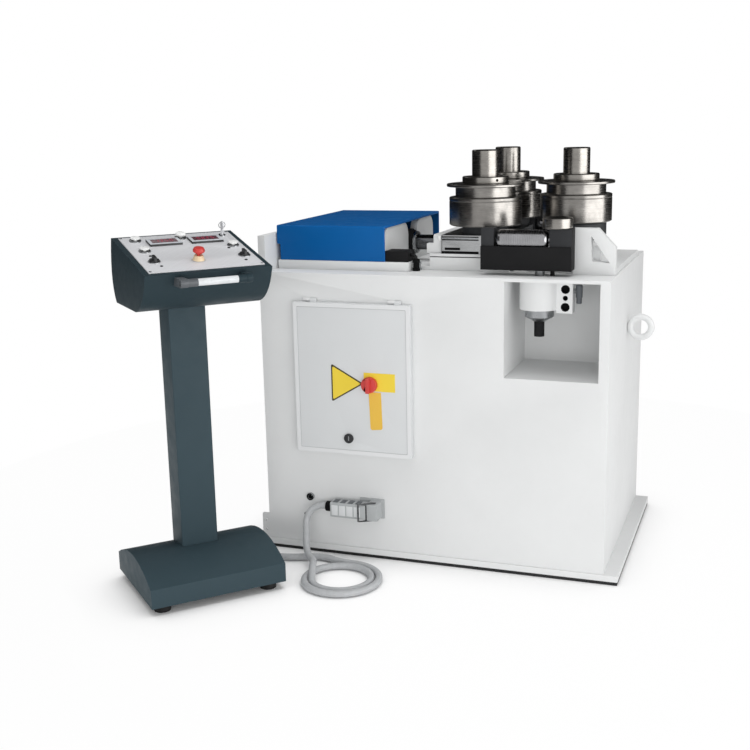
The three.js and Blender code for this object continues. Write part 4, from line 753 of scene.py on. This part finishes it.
def roll_set(tag):
    """Drum, collar with its pin hole and shaft with its keyway, all on one body."""
    x, y, key_turn, hole_turn = ROLLS[tag]
    body = "roll_set_" + tag
    bore = ROLL_BORE
    drum = [(bore, 1090), (112, 1090), (116, 1093.4), (116, 1166.4), (114.9, 1167.2), (114.9, 1168.8), (116, 1169.6),
            (116, 1178), (113.6, 1180), (97.4, 1180.2), (96, 1182), (96, 1211), (97.4, 1213), (122.4, 1213),
            (124, 1214.6), (124, 1220.2), (122.2, 1222), (bore, 1222), (bore, 1090)]
    lathe("roll_%s_skin" % tag, drum, (x, y, 0), "roll_steel", body, 160, "Z", 0.5, ("roll_" + tag,))
    collar = [(bore, 1222.3), (72.4, 1222.3), (74, 1224), (74, 1242), (71.6, 1244.3), (bore, 1244.3), (bore, 1222.3)]
    bm = lathe_bmesh(collar, (x, y, 0), 144, "Z", 0.4)
    turn = spoke(hole_turn).to_track_quat("Z", "Y").to_matrix()
    bm = carve(bm, lathe_bmesh([(0, 52), (4.6, 52), (4.6, 90), (0, 90)], (x, y, COLLAR_HOLE_Z), 28, turn=turn))
    finish_mesh("collar_%s_skin" % tag, bm, body, "shaft_steel", ("collar_" + tag,), 34)
    shaft = [(0, 1000.3), (43, 1000.3), (43, 1324), (40.4, 1327), (11, 1327), (9.4, 1326), (1.5, 1316), (0, 1316)]
    bm = lathe_bmesh(shaft, (x, y, 0), 128, "Z", 0.3)
    out = spoke(key_turn)
    across = Vector((-out.y, out.x, 0))
    keyway = block_bmesh((-3, 3), (38.6, 50), (1297, 1334))
    keyway.transform(Matrix.Translation(Vector((x, y, 0)) * MM) @ Matrix((across, out, UP)).transposed().to_4x4())
    bm = carve(bm, keyway)
    finish_mesh("shaft_%s_skin" % tag, bm, body, "shaft_steel", ("shaft_" + tag,), 34)


for letter in ROLLS:
    roll_set(letter)


# ---------------------------------------------------------------- carriage and ram
def make_carriage():
    bar_y, bar_z = SLAB_BAR

    def slab_pick(c, n):
        """0 the slab, 1 the bar in its side groove, 2 the grooves and the slot, painted black for the shade in them.
        """
        side = abs(c.y)
        if 1045.8 < c.z < 1059.2 and 230 < side < 242.9:
            bar = math.hypot(side - bar_y, c.z - bar_z) < 5.8 and side > 234.4
            return 1 if bar else 2
        low_groove = c.z < 1011.8 and 239 < side < 242.9
        slot = -242.9 < c.y < -230 and 3 < c.x < 56 and 1014 < c.z < 1024
        return 2 if low_groove or slot else 0

    dress_by("carriage_slab", ("slide_steel", "chrome", "port_black"), slab_pick, 0.7)
    # A cap nut on each bar's end. Its white is partly a painted glint.
    nut = [(0, -8.9), (7.2, -8.9), (8, -10), (8, -15), (5.4, -18.6), (0, -19.6)]
    for name, sign in SIDES.items():
        lathe("bar_nut_glint_" + name, nut, (0, sign * (bar_y - 0.2), bar_z), "white_plastic", "carriage", 24, "X", 0.5)
    rod = [(0, -289.2), (24.8, -289.2), (26, -288), (26, -40.4), (24.8, -39.2), (0, -39.2)]
    lathe("ram_rod_skin", rod, (0, 0, RAM_Z), "dark_chrome", "carriage", 96, "X", 0.3, ("ram_rod",))
    dress_by("stroke_sensor", ("drive_casting", "zinc"), lambda c, n: 1 if c.x < -105 else 0, 0.8)


make_carriage()


# ---------------------------------------------------------------- guide sets
def guide_set(side):
    y = SIDES[side] * GUIDE_Y

    def lift_pick(c, n):
        """0 barrel and port block, 1 gland nut, 2 bore and ports, painted black for the shade inside them, 3 the end
        below the nut.
        """
        port = 383.2 < c.x < 430.8 and 839.2 < c.z < 928.8 and abs(c.y - y) < 22.8
        bore = 847.5 < c.z < 936 and math.hypot(c.x - LIFT_X, c.y - y) < 20
        if port or bore:
            return 2
        if c.z > 847.5 or c.x > 382.5:
            return 0
        return 1 if c.z > 807 else 3

    dress_by("lift_cylinder_" + side, ("machine_grey", "zinc", "port_black", "black_steel"), lift_pick, 0.9)

    def yoke_pick(c, n):
        """0 the yoke, 1 the cheeks that hold the rolls, 2 the rods."""
        if c.z < 967 and math.hypot(c.x - LIFT_X, c.y - y) < 17:
            return 2
        return 1 if c.z > 1040.5 else 0

    dress_by("guide_yoke_" + side, ("black_steel", "fork_grey", "zinc"), yoke_pick, 1.3)
    support = [(0, 177), (10.3, 177), (10.3, 191), (19, 191), (25, 193.4), (29.2, 198.2), (31, 206), (31, 337),
               (29.2, 344.8), (25, 349.6), (19, 352), (10.3, 352), (10.3, 366), (0, 366)]
    lathe("support_roll_%s_skin" % side, support, (0, y, SUPPORT_ROLL_Z), "support_steel", "support_" + side, 96,
          "X", 1.6, ("support_roll_" + side,))
    side_roll = [(0, 1068.3), (10.3, 1068.3), (10.3, 1094.3), (43, 1094.3), (46, 1097.3), (46, 1125.3),
                 (43, 1128.3), (34.5, 1128.3), (24, 1120.3), (9, 1120.3), (7.6, 1118.3), (0, 1118.3)]
    lathe("side_roll_%s_skin" % side, side_roll, (SIDE_ROLL_X, y, 0), "shaft_steel", "side_" + side, 96,
          "Z", 0.7, ("side_roll_" + side,))


for name in SIDES:
    guide_set(name)


# ---------------------------------------------------------------- door and fittings on the front
def door_plate(name, outline, low, high, look, width=None):
    """A sheet on the door; low and high are its faces' distances in front of the door."""
    bm = prism_bmesh(outline, DOOR_FACE - high, DOOR_FACE - low, "XZ")
    if width:
        bevel_sharp(bm, width, 1)
    finish_mesh(name, bm, "door", look)


def door_ring(inset, radius):
    """The door's outline with rounded corners, set in from its edge."""
    x0, x1, z0, z1 = (v + sign * inset for v, sign in zip(DOOR_BOX, (1, -1, 1, -1)))
    out = []
    for cx, cz, start in ((x1 - radius, z1 - radius, 0), (x0 + radius, z1 - radius, 90),
                          (x0 + radius, z0 + radius, 180), (x1 - radius, z0 + radius, 270)):
        out += arc(cx, cz, radius, start, 90, 6)
    return out


def rounded_triangle(inset, radius):
    """The outline of the triangular plate, with its corners set in towards its middle."""
    corners = [Vector((-330, 661)), Vector((-330, 534)), Vector((-219, 600))]
    centre = sum(corners, Vector((0, 0))) / 3
    out = []
    for i, p in enumerate(corners):
        a, b = corners[i - 1], corners[(i + 1) % 3]
        q = p + (centre - p).normalized() * inset
        u, v = (a - p).normalized(), (b - p).normalized()
        out += corner(q + u * radius, q, q + v * radius, 6)
    return out


def make_door():
    dress("cabinet_door", "door_grey", 2.2, 3)
    # The raised rim takes the lighter grey, a painted highlight.
    bm = frame_bmesh(door_ring(1.2, 6), door_ring(14, 3), DOOR_FACE, DOOR_FACE - 1.5)
    bevel_sharp(bm, 0.7)
    finish_mesh("door_rim", bm, "door", "rim_grey")
    # A thin grey frame inside the rim, a painted shade line along the rim's step.
    bm = frame_bmesh(door_ring(14.2, 3), door_ring(16, 3), DOOR_FACE, DOOR_FACE - 0.3)
    finish_mesh("door_rim_shade_line", bm, "door", "line_grey")

    def lock_pick(c, n):
        return 1 if c.y > -421.5 and abs(c.x + 274) < 2.5 and n.y < -0.5 else 0

    dress_by("door_lock", ("black_plastic", "zinc"), lock_pick, 0.6)
    dress("main_switch", "red_plastic", 2.2, 3)
    door_plate("switch_plate", [(-218, 577), (-112, 577), (-112, 637), (-218, 637)], 0.1, 1.1, "yellow_plate", 0.3)
    tag = [(-202, 574), (-160, 574), (-157, 456), (-161, 451), (-193, 448), (-198, 452)]
    door_plate("switch_tag", tag, 0.4, 1.3, "amber_plate")
    door_plate("triangle_plate_edge", rounded_triangle(0, 9), 0.1, 1.0, "yellow_edge")
    door_plate("triangle_plate", rounded_triangle(9, 7), 0.9, 1.3, "yellow_plate")


make_door()


def make_front():
    def socket_pick(c, n):
        return 1 if math.hypot(c.x - SOCKET_XZ[0], c.z - SOCKET_XZ[1]) < 7.2 else 0

    dress_by("service_socket", ("zinc", "port_black"), socket_pick, 0.8)
    screw("front_screw", (-448.9, -395.2, 130.3), "port_black", 3.4, 2.4, "-Y")
    dress("connector_base", "plug_grey", 1.6)
    dress_by("connector_hood", ("plug_grey", "port_black"), lambda c, n: 1 if c.x < -341.6 else 0, 2.6, 3)
    dress("connector_bail", "dark_chrome", 0.8)
    block("connector_gasket", (-209.6, -206.2), (-455.5, -407.4), (149.5, 200.5), "port_black", 1.6)
    for i in range(4):
        x = -317.5 + 26 * i
        block("connector_rib_%d" % i, (x - 8.5, x + 8.5), (-449, -418), (199.8, 201.2), "bracket_grey", 0.5)
        x += 0.5
        block("connector_face_rib_%d" % i, (x - 11, x + 11), (-456.4, -454.8), (158, 192), "plug_light", 0.5)


make_front()


# ---------------------------------------------------------------- pedestal and console
SLOPE = math.radians(PANEL_SLOPE)
DESK_X = PED_U
DESK_Y = (PED_V * math.cos(SLOPE) + UP * math.sin(SLOPE)).normalized()
DESK_N = DESK_X.cross(DESK_Y)
DESK_AT = pedestal_point(0, -285, 1023)  # the middle of the shell's upper front edge
DESK = Matrix.Translation(DESK_AT * MM) @ Matrix((DESK_X, DESK_Y, DESK_N)).transposed().to_4x4()
DESK_BACK = DESK.inverted()
PANEL_FACE = 3.1
WINDOW_LAYER = (10.4, 11.0)
DIGIT_LAYER = (11.05, 11.25)


def desk_of(point):
    """A point in the panel's own frame: along it, up it and out of it."""
    return (DESK_BACK @ (point * MM)) / MM


def desk_point(x, y, z):
    return (DESK @ (Vector((x, y, z)) * MM)) / MM


def desk_lathe(name, profile, x, y, look, segments):
    return lathe(name, profile, desk_point(x, y, 0), look, "machine", segments, soft=0.3, turn=DESK.to_3x3())


DISPLAYS = (-52.3, 75.2)
DISPLAY_Y = 259.2
CONTROLS = {  # where each one stands on the panel
    "button_left_rear": (-130, 293.9),
    "button_left_middle": (-130, 196.3),
    "button_right_middle": (140.2, 196.3),
    "selector_left": (-130, 101.9),
    "selector_right": (140.2, 101.9),
    "key_lever": (140.2, 293.9),
    "start_button": (10.3, 297.0),
    "stop_button": (-3.4, 89.4),
}


def make_handle():
    """Bar between two clamps, each with a socket, in place of the plain CAD handle."""
    bar_v, bar_z = -327, 1001
    place = Matrix.Translation(PEDESTAL * MM) @ Matrix((PED_U, PED_V, UP)).transposed().to_4x4()
    turn = Matrix((PED_V, UP, PED_U)).transposed()
    at = pedestal_point(0, bar_v, bar_z)
    lathe("console_handle_skin", [(0, -62), (9.6, -62), (10.2, -61), (10.2, 73), (9.6, 74), (0, 74)], at, "bar_white",
          "machine", 56, "Z", 0.3, ("console_handle",), turn)
    # The right socket and the right clamp below take the darker copy of the slate paint, painted shade.
    for name, low, high, look in (("left", -82, -52, "bracket_grey"), ("right", 66, 92, "shell_slate")):
        socket = [(0, low), (11, low), (11.4, low + 1), (11.4, high - 3), (11, high), (0, high)]
        lathe("handle_socket_" + name, socket, at, look, "machine", 56, "Z", 0.4, turn=turn)
    for name, low, high, look in (("left", -103.2, -80, "bracket_grey"), ("right", 90, 108, "shell_slate")):
        outline = [(bar_v + 12.4 * c, bar_z + 12.6 * s) for c, s in arc(0, 0, 1, 90, 180, 16)]
        outline += [(-262, bar_z - 12.6), (-262, bar_z + 12.6)]
        bm = prism_bmesh(outline, low, high, "YZ")
        if name == "left":
            bm = carve(bm, prism_bmesh(arc(bar_v + 2, bar_z, 7, 0, 345, 23), low - 5, high - 7, "YZ"))
        bevel_sharp(bm, 1.6)
        bm.transform(place)
        finish_mesh("handle_clamp_" + name, bm, "machine", look)


def narrow(name, share, reach, floor):
    """A move that draws in what stands higher than floor on the panel, within reach of a control's axis."""
    x, y = CONTROLS[name]

    def move(point):
        p = desk_of(point)
        off = Vector((p.x - x, p.y - y))
        if p.z < floor or off.length > reach or off.length < 6.5:
            return point
        off *= share
        return desk_point(x + off.x, y + off.y, p.z)
    return move


def make_console():
    dress_by("pedestal_base", ("slate_paint", "rubber"), lambda c, n: 1 if c.z < 19.9 else 0, 2.2, 3, 62, 62)
    dress("pedestal_column", "slate_paint", 2.5, 3)
    # The shell takes the darker copy of the slate paint, painted shade.
    dress("console_shell", "shell_slate", 2.5, 3, 14)

    def panel_pick(c, n):
        """0 the panel, 1 and 2 the display boxes' tops and sides, 3 the stop button's collar, 4 the others."""
        p = desk_of(c)
        for x in DISPLAYS:
            if abs(p.x - x) < 49.5 and abs(p.y - DISPLAY_Y) < 26.5 and p.z > 3.8:
                return 1 if n.dot(DESK_N) > 0.8 else 2
        for name, (x, y) in CONTROLS.items():
            if (Vector((p.x, p.y)) - Vector((x, y))).length < 18.6 and p.z > 3.8:
                return 3 if name == "stop_button" else 4
        return 0

    dress_by("console_panel", ("panel_alloy", "grey_plastic", "black_plastic", "cream_plastic", "zinc"),
             panel_pick, 0.7, move=narrow("stop_button", 0.72, 18.8, 5))
    # A grey disc round the stop button, a painted shadow on the panel.
    ring = [(0, PANEL_FACE), (21, PANEL_FACE), (21, 4.0), (19.5, 4.6), (0, 4.6)]
    desk_lathe("stop_button_shadow_ring", ring, *CONTROLS["stop_button"], "line_grey", 48)
    make_handle()
    for i, x in enumerate(DISPLAYS):
        bm = block_bmesh((x - 39, x + 39), (DISPLAY_Y - 14, DISPLAY_Y + 17), WINDOW_LAYER)
        bevel_sharp(bm, 0.25, 1)
        bm.transform(DESK)
        finish_mesh("display_window_%d" % i, bm, "machine", "glass_dark")
    for name in ("button_left_rear", "button_left_middle", "button_right_middle"):
        dress(name, "white_plastic", 1.2)
    for name in ("selector_left", "selector_right"):
        dress(name, "black_plastic", 1.4)
    dress("start_button", "white_plastic", 1.6)
    dress_by("stop_button", ("red_plastic",), lambda c, n: 0, 2.2, 3, move=narrow("stop_button", 0.87, 22, 12))
    dress("key_lever", "panel_alloy", 0.5)
    x, y = CONTROLS["key_lever"]
    lathe("key_ring", arc(10, 0, 1.1, 0, 360, 12), desk_point(x, y + 2, 36), "chrome", BODY["key_lever"], 40, "Z", 0,
          turn=Matrix((DESK_X, DESK_N, -DESK_Y)).transposed())
    stud = [(0, PANEL_FACE), (4.6, PANEL_FACE), (4.6, 4.4), (3.2, 5.4), (0, 5.6)]
    for i, (x, y) in enumerate(((-121, 62), (131, 62), (-126, 152), (120, 176))):
        desk_lathe("panel_stud_%d" % i, stud, x, y, "black_plastic", 20)
    for i, (x, y) in enumerate(((-165, 23), (165, 23), (-165, 325), (165, 325))):
        screw("panel_screw_%d" % i, desk_point(x, y, PANEL_FACE), "zinc", 3.6, 2.2, turn=DESK.to_3x3())


make_console()


# The seven bars of a display digit: place of the middle, and size.
BARS = {"a": (0, 9, 6, 1.4), "b": (3.2, 4.5, 1.4, 8), "c": (3.2, -4.5, 1.4, 8), "d": (0, -9, 6, 1.4),
        "e": (-3.2, -4.5, 1.4, 8), "f": (-3.2, 4.5, 1.4, 8), "g": (0, 0, 6, 1.4)}
DIGITS = {"0": "abcdef", "1": "bc", "2": "abged", "5": "afgcd", "8": "abcdefg"}
DIGIT_STEP = 14


def make_digits():
    for i, (x, number) in enumerate(zip(DISPLAYS, ("1250", "0825"))):
        bm = bmesh.new()
        for k, digit in enumerate(number):
            for u, v, w, h in (BARS[letter] for letter in DIGITS[digit]):
                cx, cy = x + DIGIT_STEP * (k - 1.5) + u, DISPLAY_Y + 1.5 + v
                block_bmesh((cx - w / 2, cx + w / 2), (cy - h / 2, cy + h / 2), DIGIT_LAYER, bm)
        bm.transform(DESK)
        finish_mesh("display_digits_%d" % i, bm, "machine", "digit_red")


make_digits()


# ---------------------------------------------------------------- floor, lamps and backdrop, in metres
def join(tree, kind, operation, *values):
    """A node of the tree with the values in its sockets, and its first output."""
    made = tree.nodes.new("ShaderNode" + kind)
    if operation:
        made.operation = operation
    for socket, value in zip(made.inputs, values):
        tree.links.new(value, socket)
    return made.outputs[0]


def seen_directly(tree):
    """1 for camera, glossy and transmission rays and 0 for the light that falls on surfaces."""
    rays = tree.nodes.new("ShaderNodeLightPath").outputs
    through = join(tree, "Math", "MAXIMUM", rays["Is Glossy Ray"], rays["Is Transmission Ray"])
    return join(tree, "Math", "MAXIMUM", rays["Is Camera Ray"], through)


def make_stage():
    """A pale floor that glows white where it is seen, apart from the shade around what stands on it."""
    bm = bmesh.new()
    bmesh.ops.create_grid(bm, x_segments=24, y_segments=24, size=40, matrix=Matrix.Translation((0, 0, -0.0004)))
    mesh = bpy.data.meshes.new("floor")
    bm.to_mesh(mesh)
    bm.free()
    floor = add_object("floor", mesh)
    look = Look("floor_white", rough=0.9, spec=0.1)
    cloud = look.noise(1.4, 3, 0.5)
    look.colour(look.mix(look.ramp(cloud, 0.3, 0.7), (0.93, 0.93, 0.93, 1), (0.95, 0.95, 0.95, 1)))
    near = look.node("AmbientOcclusion", Distance=0.2, samples=8)
    open_sky = look.ramp(near.outputs["AO"], 0.5, 0.93, 0.0, 0.95)
    place = look.node("TexCoord")
    reach = look.node("VectorMath", operation="LENGTH")
    look.link(place.outputs["Object"], reach.inputs[0])
    away = look.ramp(reach.outputs["Value"], 1.2, 2.1)
    white = join(look.tree, "Math", "MAXIMUM", open_sky, away)
    share = join(look.tree, "Math", "MULTIPLY", seen_directly(look.tree), white)
    glow = look.node("Emission", Strength=1.0)
    surface = join(look.tree, "MixShader", None, share, look.bsdf.outputs[0], glow.outputs[0])
    look.link(surface, look.tree.nodes["Material Output"].inputs["Surface"])
    mesh.materials.append(look.mat)


def area(name, at, aim, width, height, power):
    data = bpy.data.lights.new(name, "AREA")
    data.shape = "RECTANGLE"
    data.size = width
    data.size_y = height
    data.energy = power
    lamp = add_object(name, data)
    look_at = (Vector(aim) - Vector(at)).to_track_quat("-Z", "Y").to_matrix().to_4x4()
    lamp.matrix_world = Matrix.Translation(at) @ look_at
    return lamp


def flag(name, low, high):
    """A dark studio card between two rows of points, there only for what the bright metal mirrors."""
    bm = bmesh.new()
    rows = [[bm.verts.new(point) for point in row] for row in (low, high)]
    for k in range(len(low) - 1):
        bm.faces.new((rows[0][k], rows[0][k + 1], rows[1][k + 1], rows[1][k]))
    mesh = bpy.data.meshes.new(name)
    bm.to_mesh(mesh)
    bm.free()
    card = add_object(name, mesh)
    look = Look(name, rough=1.0, spec=0.0)
    look.colour(look.mix(look.ramp(look.noise(2.0, 3), 0.3, 0.7), (0.02, 0.02, 0.02, 1), (0.035, 0.035, 0.035, 1)))
    mesh.materials.append(look.mat)
    card.visible_camera = False
    card.visible_diffuse = False
    card.visible_shadow = False


def make_light():
    world = bpy.data.worlds.new("studio")
    world.use_nodes = True
    tree = world.node_tree
    mix = tree.nodes.new("ShaderNodeMix")
    mix.data_type = "RGBA"
    tree.links.new(seen_directly(tree), mix.inputs[0])
    mix.inputs[6].default_value = (0.56, 0.56, 0.56, 1)
    mix.inputs[7].default_value = (1, 1, 1, 1)
    tree.links.new(mix.outputs[2], tree.nodes["Background"].inputs["Color"])
    scene.world = world
    area("key", (3.5, -1.0, 1.27), (0.2, -0.15, 1.1), 4.4, 2.2, 33)
    # The sheen shows in the metal only; the lamps after it don't show in the metal.
    area("sheen", (3.51, -1.0, 1.27), (0.2, -0.15, 1.1), 4.4, 2.2, 70).visible_diffuse = False
    area("fill", (0.4, -4.7, 0.62), (-0.2, 0, 0.3), 4.4, 1.2, 47).visible_glossy = False
    area("bounce", (2.0, -2.9, 0.75), (0.3, -0.2, 0.75), 1.6, 1.2, 12).visible_glossy = False
    area("top", (0.3, -0.4, 4.4), (0.1, 0, 0.9), 3.0, 3.0, 62).visible_glossy = False
    left = ((-2.2, -4.6), (-4.4, -1.5), (-4.6, 2.0), (-3.0, 4.6), (0.0, 5.2), (3.4, 4.4), (4.8, 1.6))
    flag("flag_left", [(x, y, -0.1) for x, y in left], [(x, y, 4.2) for x, y in left])
    flag("flag_top", [(-3.2, -1.6, 4.3), (3.6, -1.6, 4.3)], [(-3.2, 4.6, 4.3), (3.6, 4.6, 4.3)])
    scene.view_settings.view_transform = "Standard"


make_stage()
make_light()
